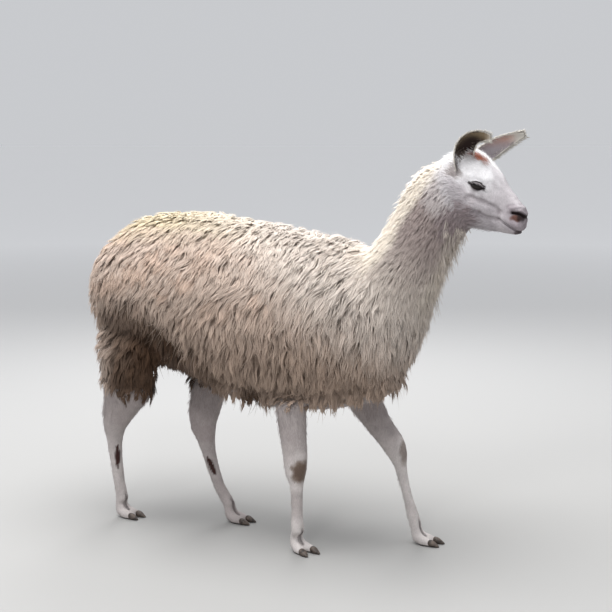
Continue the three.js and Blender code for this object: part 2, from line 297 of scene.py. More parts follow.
def laid(tree, path, step=0.005):
    """The path set out in close steps on the left side of the skin, or along its middle line."""
    found = []
    for a, b in zip(path, path[1:]):
        a, b = Vector(a), Vector(b)
        pieces = max(1, round((b - a).length / step))
        for i in range(pieces):
            wanted = a.lerp(b, i / pieces)
            hit = tree.ray_cast(Vector((wanted.x, 0.3, wanted.z)), Vector((0, -1, 0)))[0]
            if hit is None or wanted.y < 0.012 or abs(hit.y - wanted.y) > 0.03:
                hit = tree.find_nearest(wanted)[0]
            found.append(tuple(hit))
    return found


def foot_frame(leg, swing=0):
    """Place of a foot on the floor, and the ways ahead and to the left of it or of one toe."""
    x, y, heading = FEET[leg]
    turn = math.radians(heading + swing)
    ahead, across = (math.cos(turn), math.sin(turn), 0), (-math.sin(turn), math.cos(turn), 0)
    return np.array((x, y, 0)), np.array(ahead), np.array(across)


def cleft(leg):
    """The slit between the toes, down the front of the pastern, on the skin."""
    at, ahead, _ = foot_frame(leg)
    ahead = Vector(ahead)
    rises = np.linspace(0.088, 0.030, 9)
    hits = (smooth_tree.ray_cast(Vector((at[0], at[1], rise)) + ahead * 0.15, -ahead)[0] for rise in rises)
    return [tuple(hit) for hit in hits if hit is not None]


def eye_frame(side):
    """Centre of an eyeball, the way it looks, forwards along the slit and up across it."""
    centre = np.array((EYE_CENTRE.x, side * EYE_CENTRE.y, EYE_CENTRE.z))
    look = Vector((0.26, side * 0.95, 0.10)).normalized()
    ahead = Vector((math.cos(SLIT_TILT), 0, -math.sin(SLIT_TILT)))
    ahead = (ahead - look * ahead.dot(look)).normalized()
    up = ahead.cross(look) * -side
    if up.z < 0:
        up = -up
    return centre, np.array(look), np.array(ahead), np.array(up)


def lid_edges(a):
    """Heights of the upper and lower lid edges at a distance a along the slit."""
    t = np.clip(np.abs(a) / OPENING, 0, 1)
    bow = 1 - t**2.2
    return 0.0082 * bow + 0.0016 * a / OPENING, -0.0098 * bow**1.2


def bell(value, middle, width):
    return np.exp(-(((value - middle) / width) ** 2))


smooth_tree = tree_of(skin)
CARVED = {name: laid(smooth_tree, path) for name, (_, _, *path) in CARVINGS.items()}
CLEFTS = [cleft(leg) for leg in FEET]
face = read(skin.data.vertices, "co") - np.array(SHIFT)
out = read(skin.data.vertices, "normal")
mirrored = folded(face)
on_face = mirrored[:, 0] > 1.33
for name, (width, depth, *_) in CARVINGS.items():
    face[on_face] -= out[on_face] * (depth * groove(mirrored[on_face], CARVED[name], width))[:, None]
for side in (1, -1):
    centre, look, ahead, up = eye_frame(side)
    arm = face - centre
    away = np.linalg.norm(arm, axis=1)
    near = (away < 0.045) & (arm @ look > 0.0)
    arm = arm[near]
    a, b = arm @ ahead, arm @ up
    top, bottom = lid_edges(a)
    snug = 0.0006  # corners of the mesh this close to a lid's edge are drawn onto it
    b_new = np.where(np.abs(b - top) < snug, top, np.where(np.abs(b - bottom) < snug, bottom, b))
    arm = arm + up * ((b_new - b) * (np.abs(a) < OPENING))[:, None]
    dist, b = np.linalg.norm(arm, axis=1), b_new
    inside = (b < top) & (b > bottom) & (np.abs(a) < OPENING)
    edge = np.minimum(np.abs(b - top), np.abs(b - bottom))
    roll = 0.0022 * bell(edge, 0.0022, 0.0024) * (b > 0)
    lower_roll = 0.0010 * bell(edge, 0.0018, 0.0018) * (b < 0)
    crease = bell(b - top, 0.0085, 0.0020) * (b > 0)
    lower_crease = 0.8 * bell(bottom - b, 0.0070, 0.0018) * (b < 0)
    lidded = EYE_RADIUS + LID + roll + lower_roll - 0.0022 * (crease + lower_crease)
    lidded = np.where(inside, EYE_RADIUS - 0.0045, lidded)
    hug = 1 - ramp(np.hypot(a / 0.031, b / 0.026), 0.66, 1.0)
    hug = np.where(inside, 1.0, hug)
    face[near] = centre + arm * (1 + (lidded - dist) * hug / dist)[:, None]
for path in CLEFTS:
    low = face[:, 2] < 0.11
    face[low] -= out[low] * (CLEFT_DEPTH * groove(face[low], path, CLEFT_WIDTH))[:, None]
face[:, 2] -= 0.0045 * ramp(face[:, 2], 0.030, 0.006)
face[:, 2] = np.maximum(face[:, 2], 0.0)
set_points(skin.data, face + np.array(SHIFT))

# What lies under the wool needs fewer faces than the face and legs.
covered = (on_leg(face) < 0.1) & (on_head(face, -0.10, -0.05) < 0.1)
skin.vertex_groups.new(name="under wool").add(np.where(covered)[0].tolist(), 1.0, "REPLACE")
apply(skin, "DECIMATE", ratio=0.80, vertex_group="under wool")

# ---------------------------------------------------------------------------
# Ears. Two long curved leaves of gristle, rolled into scoops and thin at the
# rim. Each is lofted along its own curve, and grows out of the skin.
# ---------------------------------------------------------------------------
EAR_HALF_WIDTH = {"ear_left": 0.0345, "ear_right": 0.0360}
EAR_WALL = 0.0042
EAR_ROLL = 2.3  # radians of arc at the root
EAR_SHAPES = {  # root, knee and tip of the curve, and the way the scoop opens
    "ear_left": ((1.362, 0.038, 1.378), (1.400, 0.072, 1.440), (1.504, 0.124, 1.480), (0.35, -0.80, -0.50)),
    "ear_right": ((1.36, -0.046, 1.368), (1.354, -0.072, 1.496), (1.48, -0.11, 1.473), (0.70, -0.65, -0.20)),
}
EAR_RINGS, EAR_STEPS = 34, 12  # sections along an ear, and steps across each of its sides


def ear_line(name, t):
    """Middle of the ear, the way it runs and the way it opens, at t from root to tip."""
    root, knee, tip, opens = (np.array(v) for v in EAR_SHAPES[name])
    middle = (1 - t) ** 2 * root + 2 * t * (1 - t) * knee + t * t * tip
    run = 2 * (1 - t) * (knee - root) + 2 * t * (tip - knee)
    run /= np.linalg.norm(run)
    front = opens / np.linalg.norm(opens)
    front -= run * (front @ run)
    return middle, run, front / np.linalg.norm(front)


def ear_point(name, t, across, wall):
    """A point of the ear: across from -1 to 1, wall 0 on the back and 1 inside the scoop."""
    middle, run, front = ear_line(name, t)
    edge = np.cross(run, front)
    inner = min(max(t, 0), 1)
    leaf = EAR_HALF_WIDTH[name] * (math.sin(math.pi * (0.29 + 0.68 * inner)) ** 0.8 + 0.04)
    roll = EAR_ROLL * (1 - 0.5 * inner)
    bend = leaf / math.sin(roll / 2)
    thick = min(EAR_WALL, leaf * 0.5) * (1 - 0.55 * abs(across) ** 3)
    radius = bend - thick * wall
    angle = roll / 2 * across
    lift = bend * math.cos(roll / 2) - radius * math.cos(angle)
    return middle + edge * radius * math.sin(angle) + front * lift


def ear_mesh(name):
    acrosses = [-math.cos(math.pi * i / EAR_STEPS) for i in range(EAR_STEPS + 1)]
    outline = [(a, 0) for a in acrosses] + [(a, 1) for a in reversed(acrosses)]
    ring, last = len(outline), len(outline) * (EAR_RINGS - 1)
    ts = [-0.10 + 1.10 * r / (EAR_RINGS - 1) for r in range(EAR_RINGS)]
    corners = [Vector(ear_point(name, t, *at)) + SHIFT for t in ts for at in outline]
    pairs = [(i, (i + 1) % ring) for i in range(ring)]
    faces = [(s + i, s + j, s + ring + j, s + ring + i) for s in range(0, last, ring) for i, j in pairs]
    faces += [tuple(range(ring)), tuple(last + i for i in reversed(range(ring)))]
    mesh = bpy.data.meshes.new(name)
    mesh.from_pydata(corners, [], faces)
    return mesh


ears = [add(name + "_skin", ear_mesh(name)) for name in EARS]
for ear in ears:
    with editing(ear):
        bpy.ops.mesh.normals_make_consistent(inside=False)
    apply(ear, "SUBSURF", levels=1, render_levels=1)
choose(*ears, skin)
bpy.ops.object.join()
bpy.ops.object.shade_smooth()
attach(skin, "root")
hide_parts(*FLESH, *EARS)

# ---------------------------------------------------------------------------
# Colour of the hide and the coat. Both take the same markings, from the place
# on the body: cream along the back, beige-grey sides with painted shade low down, dirt and
# painted shade on the hem, white face and legs greyed by painted shade, grey-mauve neck and muzzle, and the
# small dark marks, some of them painted shade.
# ---------------------------------------------------------------------------
TRUNK_SIDE, TRUNK_CREAM, TRUNK_FORE, TRUNK_LOW_SHADE = "#c8b5a7", "#cfc2a3", "#eadfce", "#9a8473"
TRUNK_WARM, MUD_AND_SHADE = "#c9ae9b", "#4a3525"
NECK_BASE, NECK_SIDE, NECK_FRINGE = "#cfc4ba", "#a69793", "#ebe1d3"
FACE_WHITE, FACE_SIDE_SHADE, FOLD_SHADE = "#f2f0f1", "#c0b9bc", "#74696c"
JAW_SHADE, MUZZLE_GREY_AND_SHADE = "#988a8b", "#978d92"
LEG_WHITE, LEG_SHADE, CALLUS, GLAND, SOLE_DARK = "#d3ccc9", "#a29795", "#6d5847", "#3c2420", "#4a423d"
NOSTRIL_SHADE, NOSE_PINK, SLIT_SHADE, DARK_LIDS_AND_SHADE, RUST = "#221617", "#644238", "#3d3234", "#1f1719", "#a5624a"
EAR_DEEP, EAR_TAN, EAR_GREY, EAR_PINK = "#2c1e1a", "#85745c", "#a89fa3", "#bf9a8d"
EAR_RIM, EAR_BASE_AND_SHADOW = "#eae4da", "#8b7f7b"
GLANDS = (  # oval scent glands on both sides of each hind cannon
    ((-0.029, -0.127, 0.290), (-0.033, -0.125, 0.188)),
    ((0.268, 0.034, 0.246), (0.312, 0.034, 0.173)),
    ((-0.073, -0.094, 0.290), (-0.065, -0.090, 0.188)),
    ((0.249, 0.089, 0.246), (0.293, 0.083, 0.173)),
)
GLAND_WIDTH = 0.0118
CALLUSES = (  # worn pads on the two knees: centre, reach and how dark
    ((0.806, -0.176, 0.294), (0.042, 0.050, 0.056), 0.90),
    ((1.070, 0.128, 0.335), (0.026, 0.045, 0.064), 0.55),
)
RUST_MARK = ((1.384, -0.034, 1.416), (1.398, -0.026, 1.410), (1.412, -0.024, 1.403), (1.426, -0.020, 1.393))
# Dirt, with painted shade in the hollows: thigh, groin and elbow.
MUD_AND_SHADE_SPOTS = (  # strength, centre on the left half, and reach: thigh, groin and elbow
    (0.72, (0.08, 0.20, 0.69), (0.21, 0.20, 0.21)),
    (0.60, (0.34, 0.16, 0.60), (0.16, 0.22, 0.09)),
    (0.75, (0.58, 0.16, 0.52), (0.06, 0.22, 0.08)),
)


def linear(code):
    """An sRGB hex colour as linear red, green, blue and alpha."""
    parts = (int(code[i : i + 2], 16) / 255 for i in (1, 3, 5))
    return (*(c / 12.92 if c <= 0.04045 else ((c + 0.055) / 1.055) ** 2.4 for c in parts), 1.0)


def rgb(code):
    return np.array(linear(code)[:3])


def soft_noise(place, size, seed):
    """A smooth random field from -1 to 1, with blobs of about that size in metres."""
    draw = np.random.default_rng(seed)
    total = np.zeros(len(place))
    for _ in range(5):
        way = draw.normal(size=3)
        way /= np.linalg.norm(way)
        total += np.sin(place @ way * (2 * math.pi / size) * draw.uniform(0.7, 1.4) + draw.uniform(0, 6.28))
    return np.clip(total / 2.4, -1, 1)


def spot(place, centre, reach):
    """1 at the centre, 0 past the reach, which may differ along x, y and z."""
    gap = (place - np.array(centre)) / np.array(reach)
    return 1 - ramp(np.linalg.norm(gap, axis=1), 0.55, 1.0)


def almond(place, start, end, width):
    """1 inside a leaf-shaped mark from start to end."""
    start, end = np.array(start), np.array(end)
    t = np.clip((place - start) @ (end - start) / ((end - start) @ (end - start)), 0, 1)
    gap = np.linalg.norm(place - start - t[:, None] * (end - start), axis=1)
    return ramp(gap / (width * np.sin(math.pi * t) ** 0.7 + 1e-4), 1.15, 0.80)


def dapples(place):
    return 0.012 * soft_noise(place, 0.030, 15)


def behind_neck(place):
    """How far each place lies behind the middle line of the neck."""
    return -(place - HEAD_ROOT) @ np.array((0.847, 0, -0.532))


def markings(place, out):
    """Linear colour of the coat at each place, where out is the way the skin faces, and the
    function that paints more on it."""
    x, y, z = place.T
    half, dapple, blot = folded(place), dapples(place), soft_noise(place, 0.11, 3)
    tint = np.tile(linear(TRUNK_SIDE)[:3], (len(place), 1))

    def paint(code, mask):
        tint[:] += (rgb(code) - tint) * np.clip(mask, 0, 1)[:, None]

    # Trunk: cream on top, patchy sides, and a hem and thighs brown with dirt and painted shade.
    neck, head = along_neck(place), on_head(place)
    # Painted shade: the trunk darkens from the back down towards the belly.
    paint(TRUNK_LOW_SHADE, 0.75 * ramp(z, 0.98, 0.62) * ramp(neck, 0.0, -0.25))
    patches = ramp(soft_noise(place, 0.10, 21), -0.1, 0.7)
    paint(TRUNK_WARM, 0.6 * patches * ramp(z, 0.72, 0.90) * ramp(x, 0.85, 0.65))
    top = ramp(out[:, 2], 0.55, 0.92) * ramp(z, 0.95, 1.08)
    paint(TRUNK_CREAM, 0.85 * top + 0.15 * ramp(x, -0.08, RUMP_BACK))
    paint(TRUNK_FORE, top * ramp(x + 0.05 * blot, 0.45, 0.75))
    hem = np.interp(x, (-0.1, 0.25, 0.45, 0.7, 1.0), (0.61, 0.69, 0.61, 0.565, 0.55))
    paint(MUD_AND_SHADE, 0.80 * ramp(z + 0.03 * blot, hem, hem - 0.13) * ramp(x, 1.08, 0.70))
    paint(MUD_AND_SHADE, 0.75 * spot(half, (0.20, 0.16, 0.64), (0.17, 0.20, 0.19)) * (1 + 0.4 * blot))
    for strength, centre, reach in MUD_AND_SHADE_SPOTS:
        paint(MUD_AND_SHADE, strength * spot(half, centre, reach))
    rear = x + 0.02 * blot - 0.12 * ramp(y, -0.03, 0.03)
    paint(TRUNK_SIDE, 0.85 * ramp(rear, 0.03, -0.05) * ramp(z, 0.80, 0.70))
    # Neck, with its pale fringes behind and in front.
    paint(NECK_BASE, ramp(neck, -0.30, -0.02))
    paint(NECK_SIDE, ramp(neck, 0.06, 0.30) * ramp(np.abs(y), 0.015, 0.06) * 0.9)
    behind = behind_neck(place)
    paint(NECK_FRINGE, ramp(neck, 0.02, 0.14) * ramp(behind + 0.008 * blot, 0.062, 0.094))
    paint(NECK_FRINGE, 0.7 * ramp(neck, 0.02, 0.14) * ramp(behind, -0.065, -0.095))
    # Head: white, greyer down the cheek and the jaw to the muzzle, partly by painted shade on the sides, the
    # nose, the chin and under the jaw.
    paint(FACE_WHITE, head)
    paint(FACE_WHITE, 0.32 * spot(half, (1.290, 0.07, 1.305), (0.080, 0.07, 0.110)))
    # Painted shade: the sides of the face grey lower down and where they turn from the light above.
    cheek = 0.9 * head * ramp(z + 0.35 * (x - 1.41) + dapple, 1.345, 1.265)
    paint(FACE_SIDE_SHADE, cheek * ramp(out[:, 2], 0.85, 0.45))
    # Painted shade under the jaw.
    paint(JAW_SHADE, 0.9 * spot(half + dapple[:, None], (1.350, 0.055, 1.192), (0.092, 0.080, 0.078)))
    # Painted shade down the front of the face and the nose.
    paint(FACE_SIDE_SHADE, 0.85 * ramp(x + dapple, 1.43, 1.50) * head)
    # Painted shadow on the head under the root of the right ear.
    paint(EAR_BASE_AND_SHADOW, 0.75 * spot(place + dapple[:, None], (1.334, -0.066, 1.356), (0.036, 0.04, 0.030)))
    paint(MUZZLE_GREY_AND_SHADE, 0.9 * ramp(x, 1.490, 1.532) * ramp(z + 0.5 * dapple, 1.262, 1.225) * head)
    # Painted shade on the chin.
    paint(FACE_SIDE_SHADE, 0.6 * spot(half, (1.505, 0.02, 1.160), (0.035, 0.04, 0.020)))
    # Legs, shaded on their inner sides, towards the wool, and more on the hind pair.
    legs = on_leg(place) * ramp(z, 0.60, 0.56)
    paint(LEG_WHITE, legs)
    paint(LEG_SHADE, 0.55 * legs * ramp(soft_noise(place, 0.20, 9), 0.1, 0.9) * ramp(z, 0.08, 0.16))
    paint(LEG_SHADE, 0.5 * legs * ramp(np.abs(y), 0.10, 0.05))
    paint(LEG_SHADE, 0.72 * legs * ramp(z, 0.22, 0.44))
    paint(LEG_SHADE, 0.30 * legs * ramp(x, 0.50, 0.40))
    return tint, paint


def detail_marks(place, out):
    """The markings with the small marks of bare skin, glands, knees, ears and feet."""
    tint, paint = markings(place, out)
    z, half, dapple = place[:, 2], folded(place), dapples(place)[:, None]
    ragged = place + 0.006 * np.column_stack([soft_noise(place, 0.03, 30 + k) for k in range(3)])
    for knee, reach, depth in CALLUSES:
        paint(LEG_WHITE, 0.75 * spot(ragged, knee, np.array(reach) * 1.45))
        paint(CALLUS, depth * spot(ragged, knee, reach))
        paint(GLAND, 0.35 * depth * spot(ragged + 0.5 * dapple, knee, np.array(reach) * 0.70))
    for path in GLANDS:
        paint(GLAND, almond(place, *path, GLAND_WIDTH))
    for leg in FEET:
        at, ahead, _ = foot_frame(leg)
        near = np.linalg.norm(place - at, axis=1) < 0.13
        paint(SOLE_DARK, near * ramp((place - at) @ ahead, 0.036, 0.050) * 0.8 * ramp(z, 0.034, 0.024))
        paint(SOLE_DARK, near * ramp(z, 0.007, 0.003))
    # Painted shade in the cleft between the toes.
    for path in CLEFTS:
        paint(SLIT_SHADE, 0.9 * ramp(groove(place, path, 0.0085), 0.20, 0.75) * ramp(z, 0.092, 0.074))
    # Nose and lips, with painted shade in the nostrils and the mouth line.
    nostril = CARVED["nostril"]
    paint(NOSE_PINK, 0.95 * spot(half + 0.3 * dapple, (1.544, 0.034, 1.209), (0.028, 0.022, 0.016)))
    paint(NOSTRIL_SHADE, 0.75 * ramp(groove(half, nostril, 0.0075), 0.05, 1.0))
    paint(NOSTRIL_SHADE, 0.85 * ramp(groove(half, nostril[5:], 0.0125), 0.15, 1.0))
    paint(NOSTRIL_SHADE, 0.85 * spot(half + 0.3 * dapple, (1.556, 0.027, 1.208), (0.017, 0.022, 0.015)))
    paint(NOSTRIL_SHADE, ramp(groove(half, [(a, b - 0.010, c) for a, b, c in nostril], 0.0075), 0.15, 0.70))
    # Painted shade above the nostril.
    paint(MUZZLE_GREY_AND_SHADE, 0.6 * spot(half, (1.528, 0.036, 1.245), (0.026, 0.022, 0.015)))
    paint(SLIT_SHADE, 0.95 * ramp(groove(half, CARVED["mouth"], 0.0042), 0.2, 0.7))
    # Painted shade under the front of the lips.
    paint(SLIT_SHADE, 0.8 * spot(half, (1.546, 0.015, 1.157), (0.022, 0.024, 0.012)))
    for fold, strength, width in (("fold under the eye", 0.50, 0.0085), ("cheek fold", 0.60, 0.0090)):
        paint(FOLD_SHADE, strength * groove(half + 0.2 * dapple, CARVED[fold], width))
    # Lids, with dark rims that are partly painted shadow of the lashes, a darkened tear groove, and the rusty
    # mark between the ears.
    for side in (1, -1):
        centre, look, ahead, up = eye_frame(side)
        arm = place - centre
        a, b = arm @ ahead, arm @ up
        top, bottom = lid_edges(a)
        rim = np.maximum(b - top, 0.75 * (bottom - b)) - 0.0016 * ramp(a, 0.0, 0.014)
        reach = np.hypot(a / (OPENING + 0.005), b / 0.020)
        front = (np.linalg.norm(arm, axis=1) < 0.038) & (arm @ look > 0)
        paint(FOLD_SHADE, front * 0.75 * ramp(bottom - b, 0.016, 0.004) * ramp(reach, 1.25, 0.9) * (b < 0))
        paint(DARK_LIDS_AND_SHADE, front * ramp(rim, 0.0062, 0.0030) * ramp(reach, 1.30, 1.05))
    paint(DARK_LIDS_AND_SHADE, 0.6 * groove(half, CARVED["tear groove"], 0.0040))
    paint(NOSE_PINK, 0.30 * ramp(groove(ragged, RUST_MARK, 0.0260), 0.1, 0.8))
    paint(RUST, ramp(groove(ragged, RUST_MARK[1:], 0.0140), 0.15, 0.7))
    return tint


def node(material, kind, inputs=None, **settings):
    """Adds one shader node, with its settings, values and links."""
    made = material.node_tree.nodes.new("ShaderNode" + kind)
    for name, value in settings.items():
        setattr(made, name, value)
    for socket, value in (inputs or {}).items():
        if isinstance(value, bpy.types.NodeSocket):
            material.node_tree.links.new(value, made.inputs[socket])
        else:
            made.inputs[socket].default_value = value
    return made


def new_material(name, values):
    """A bare material with a Principled shader on its output; returns both."""
    material = bpy.data.materials.new(name)
    material.use_nodes = True
    material.node_tree.nodes.clear()
    shader = node(material, "BsdfPrincipled", values)
    node(material, "OutputMaterial", {"Surface": shader.outputs[0]})
    return material, shader


def feed(material, shader, socket, value):
    material.node_tree.links.new(value, shader.inputs[socket])


# Hide under short hair: a matt skin whose nap shows as fine streaks. The hairs are under
# 0.1 mm; the streaks are drawn at 2 to 4 mm so that they show.
NOISE_SPAN = {"From Min": 0.3, "From Max": 0.7}  # nearly all of a noise lies between these
hide, hide_shader = new_material("short-haired hide", {"Roughness": 0.82, "Specular IOR Level": 0.25})
hide_tint = node(hide, "Attribute", attribute_name="Tint").outputs["Color"]
hide_place = node(hide, "TexCoord").outputs["Object"]
hide_squeeze = node(hide, "Mapping", {"Vector": hide_place, "Scale": (420, 420, 120)}).outputs[0]
hide_streaks = {"Vector": hide_squeeze, "Scale": 1.0, "Detail": 4.0, "Roughness": 0.65}
hide_nap = node(hide, "TexNoise", hide_streaks).outputs["Fac"]
hide_blot = node(hide, "TexNoise", {"Vector": hide_place, "Scale": 26.0, "Detail": 3.0}).outputs["Fac"]
hide_shade = node(hide, "MapRange", {"Value": hide_nap, **NOISE_SPAN, "To Min": 0.78, "To Max": 1.06})
hide_patch = node(hide, "MapRange", {"Value": hide_blot, **NOISE_SPAN, "To Min": 0.86, "To Max": 1.05})
hide_both = node(hide, "Math", {0: hide_shade.outputs[0], 1: hide_patch.outputs[0]}, operation="MULTIPLY")
hide_colour = node(hide, "VectorMath", {0: hide_tint, "Scale": hide_both.outputs[0]}, operation="SCALE")
hide_bump = node(hide, "Bump", {"Height": hide_nap, "Strength": 0.45, "Distance": 0.0015})
feed(hide, hide_shader, "Base Color", hide_colour.outputs[0])
feed(hide, hide_shader, "Normal", hide_bump.outputs[0])
skin.data.materials.append(hide)


def paint_points(mesh, colours):
    """Stores one linear colour per point, as the attribute Tint."""
    store = mesh.attributes.new("Tint", "FLOAT_COLOR", "POINT")
    store.data.foreach_set("color", np.column_stack((colours, np.ones(len(colours)))).ravel())


def ear_marks(place, tint):
    """Repaints the ears: white-haired backs and rims, bare darker insides."""
    reach = 0.006  # points this close to an ear's sides belong to it
    chosen = np.where((place[:, 2] > 1.36) & (np.abs(place[:, 1]) > 0.02))[0]
    grid = [(t, a) for t in np.linspace(0, 1, 26) for a in np.linspace(-1, 1, 13)]
    tones = {"ear_left": (EAR_GREY, EAR_PINK, 0.72), "ear_right": (EAR_DEEP, EAR_TAN, 0.88)}
    for name, (deep, outer_part, white_from) in tones.items():
        walls = (np.array([ear_point(name, t, a, wall) for t, a in grid]) for wall in (1, 0))
        to_inner, to_outer = (np.linalg.norm(place[chosen][:, None] - wall, axis=2) for wall in walls)
        closest = to_inner.argmin(axis=1)
        to_inner, to_outer = to_inner.min(axis=1), to_outer.min(axis=1)
        is_in = (to_inner < reach) & (to_inner <= to_outer + 0.0002)
        is_ear = np.minimum(to_inner, to_outer) < reach
        t, side = (np.array(grid)[closest, k][:, None] for k in (0, 1))
        upper = math.copysign(1, ear_point(name, 0.6, 1, 0)[2] - ear_point(name, 0.6, -1, 0)[2])
        rim_colour, root, end, base = (rgb(code) for code in (EAR_RIM, deep, outer_part, EAR_BASE_AND_SHADOW))
        bare = root + (end - root) * ramp(t + 0.30 * side * upper, 0.35, 0.95)
        bare = bare + (base - bare) * ramp(t, 0.26, 0.08)
        mask = is_in[:, None] * ramp(np.abs(side), 1.0, 0.84) * ramp(t, white_from + 0.22, white_from)
        back = rim_colour * (1 - 0.22 * ramp(np.abs(side), 0.95, 0.60))
        tint[chosen[is_ear]] = (back + (bare - back) * mask)[is_ear]


SKIN_IN_SHADE = 0.14  # how much darker the skin is under the wool
skin_at = read(skin.data.vertices, "co") - np.array(SHIFT)
skin_tint = detail_marks(skin_at, read(skin.data.vertices, "normal"))
ear_marks(skin_at, skin_tint)
under_wool = (1 - on_leg(skin_at)) * (1 - on_head(skin_at, -0.03, 0.02))
paint_points(skin.data, skin_tint * (1 - SKIN_IN_SHADE * under_wool)[:, None])

# ---------------------------------------------------------------------------
# Eyes. Wet balls, near black, with a dark brown iris and a level bar of a pupil
# under a clear bulging cornea. Each is turned in one piece and set in its socket.
# ---------------------------------------------------------------------------
EYE_COLOURS = {  # pupil, iris and rim of the eye, from its middle outwards
    0.12: "#040202",
    0.22: "#140b08",
    0.52: "#190e09",
    0.62: "#070403",
    0.74: "#241b18",
    1.0: "#3a2e2a",
}
CORNEA_RISE = 0.0016
PUPIL_STRETCH = 1.5
WET = {"Roughness": 0.06, "Specular IOR Level": 0.1, "Coat Weight": 0.5, "Coat Roughness": 0.02}

# A wet cornea over a dark iris: near black, with one small sharp highlight of the light above.
cornea, cornea_shader = new_material("wet eyeball", WET)
eye_ring = node(cornea, "Attribute", attribute_name="Iris").outputs["Fac"]
eye_ramp = node(cornea, "ValToRGB", {"Fac": eye_ring})
eye_stops = eye_ramp.color_ramp.elements
for position in (0.22, 0.52, 0.62, 0.74):
    eye_stops.new(position)
for stop, (position, code) in zip(eye_stops, EYE_COLOURS.items()):
    stop.position = position
    stop.color = linear(code)
feed(cornea, cornea_shader, "Base Color", eye_ramp.outputs[0])


def finish_ball(ball, points, material):
    """Sets the points of a turned sphere, its outside and its material."""
    set_points(ball.data, points + np.array(SHIFT))
    with editing(ball):
        bpy.ops.mesh.normals_make_consistent(inside=False)
    bpy.ops.object.shade_smooth()
    ball.data.materials.append(material)


for name, side in (("eye_left", 1), ("eye_right", -1)):
    bpy.ops.object.select_all(action="DESELECT")
    bpy.ops.mesh.primitive_uv_sphere_add(segments=48, ring_count=32, radius=EYE_RADIUS)
    ball = bpy.context.object
    ball.name = name + "_ball"
    centre, look, ahead, up = eye_frame(side)
    turned = read(ball.data.vertices, "co")
    turned[:, 2] += CORNEA_RISE * ramp(turned[:, 2] / EYE_RADIUS, 0.72, 1.0)
    bar = np.hypot(turned[:, 0] / PUPIL_STRETCH, turned[:, 1]) / EYE_RADIUS
    store = ball.data.attributes.new("Iris", "FLOAT", "POINT")
    store.data.foreach_set("value", np.clip(bar + (turned[:, 2] < 0), 0, 1))
    turned = turned[:, :1] * ahead + turned[:, 1:2] * up + turned[:, 2:] * look
    finish_ball(ball, turned + centre, cornea)
    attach(ball, "root")
    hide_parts(name)

# ---------------------------------------------------------------------------
# Nails. A blunt curved claw of dark horn on each toe, grown in fine rings and
# worn paler in patches. Each is lofted along the toe, over the solid it replaces.
# ---------------------------------------------------------------------------
NAIL_RUN = (  # forwards, sideways, up, half height, half width, in mm along the toe
    (22, 19.5, 13.0, 8.0, 10.0),
    (34, 19.2, 12.5, 13.5, 14.0),
    (46, 18.5, 10.0, 12.0, 13.5),
    (58, 17.8, 6.5, 8.5, 10.0),
    (71, 17.0, 3.5, 4.5, 5.0),
)
TOE_SPLAY = {"fore_right": 9, "fore_left": 6, "hind_right": 5, "hind_left": 5}  # degrees outwards

# Horn: dark and half matt, rough with growth marks of about 3 mm, and worn paler in patches
# of about 15 mm.
HORN_COLOURS = {0.35: "#2c2420", 0.75: "#6d5f55"}
horn, horn_shader = new_material("nail horn", {"Roughness": 0.55})
horn_place = node(horn, "TexCoord").outputs["Object"]
horn_rings = node(horn, "TexNoise", {"Vector": horn_place, "Scale": 300.0, "Detail": 3.0}).outputs["Fac"]
horn_wear = node(horn, "TexNoise", {"Vector": horn_place, "Scale": 70.0, "Detail": 2.0}).outputs["Fac"]
horn_ramp = node(horn, "ValToRGB", {"Fac": horn_wear})
for stop, (position, code) in zip(horn_ramp.color_ramp.elements, HORN_COLOURS.items()):
    stop.position = position
    stop.color = linear(code)
horn_bump = node(horn, "Bump", {"Height": horn_rings, "Strength": 0.4, "Distance": 0.0006})
feed(horn, horn_shader, "Base Color", horn_ramp.outputs[0])
feed(horn, horn_shader, "Normal", horn_bump.outputs[0])

nail_run = np.array(NAIL_RUN) / 1000
for leg in FEET:
    for side, side_name in ((1, "left"), (-1, "right")):
        at, ahead, across = foot_frame(leg, side * TOE_SPLAY[leg])
        bpy.ops.object.select_all(action="DESELECT")
        bpy.ops.mesh.primitive_uv_sphere_add(segments=24, ring_count=20, radius=1)
        nail = bpy.context.object
        nail.name = f"nail_{leg}_{side_name}_horn"
        ball = read(nail.data.vertices, "co")
        stage = (1 - ball[:, 2]) / 2 * (len(nail_run) - 1)
        stops = range(len(nail_run))
        forward, sideways, rise, tall, wide = (np.interp(stage, stops, row) for row in nail_run.T)
        ripple = 1 + 0.025 * np.sin(stage * 9)
        blunt = np.maximum(np.hypot(ball[:, 0], ball[:, 1]), 1e-3) ** -0.45 * ripple
        shaped = at + np.outer(forward, ahead)
        shaped += np.outer(sideways + wide * ball[:, 0] * blunt, across * side)
        shaped[:, 2] += rise + tall * ball[:, 1] * blunt
        shaped[:, 2] = np.maximum(shaped[:, 2], 0.0005)
        finish_ball(nail, shaped, horn)
        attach(nail, "root")
        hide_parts(f"nail_{leg}_{side_name}")

# ---------------------------------------------------------------------------
# Wool. Fibres cling together in wavy pointed locks, each rooted in the skin.
# A lock is combed along the body step by step, sinks to the depth of the coat,
# and hangs free where the body turns under. It is built of slim three-sided
# wisps that draw together towards its tip.
# ---------------------------------------------------------------------------
STEPS = 6  # lengths that a lock is combed in
SHOWS = 4  # the step of a lock that lies open to the light, and takes the marking of its place
CRIMP = 0.055  # length of a wave in the wool, in metres
PATCH = 0.003  # size of a wisp's patch on the bake map
DOWN = np.array((0, 0, -1.0))
FALL_PLACES = (-0.19, -0.05, 0.12, 0.55, 0.75, 0.95, 1.12)
FALL_DEGREES = (88, 80, 76, 76, 80, 84, 86)  # how steeply the coat runs down the sides there
hide_tree = tree_of(skin)
skin_faces = np.array([(*p.vertices[:3], p.vertices[-1]) for p in skin.data.polygons])
face_middle = skin_at[skin_faces].mean(axis=1)
face_area = read(skin.data.polygons, "area", 1)[:, 0]
face_out = read(skin.data.polygons, "normal")


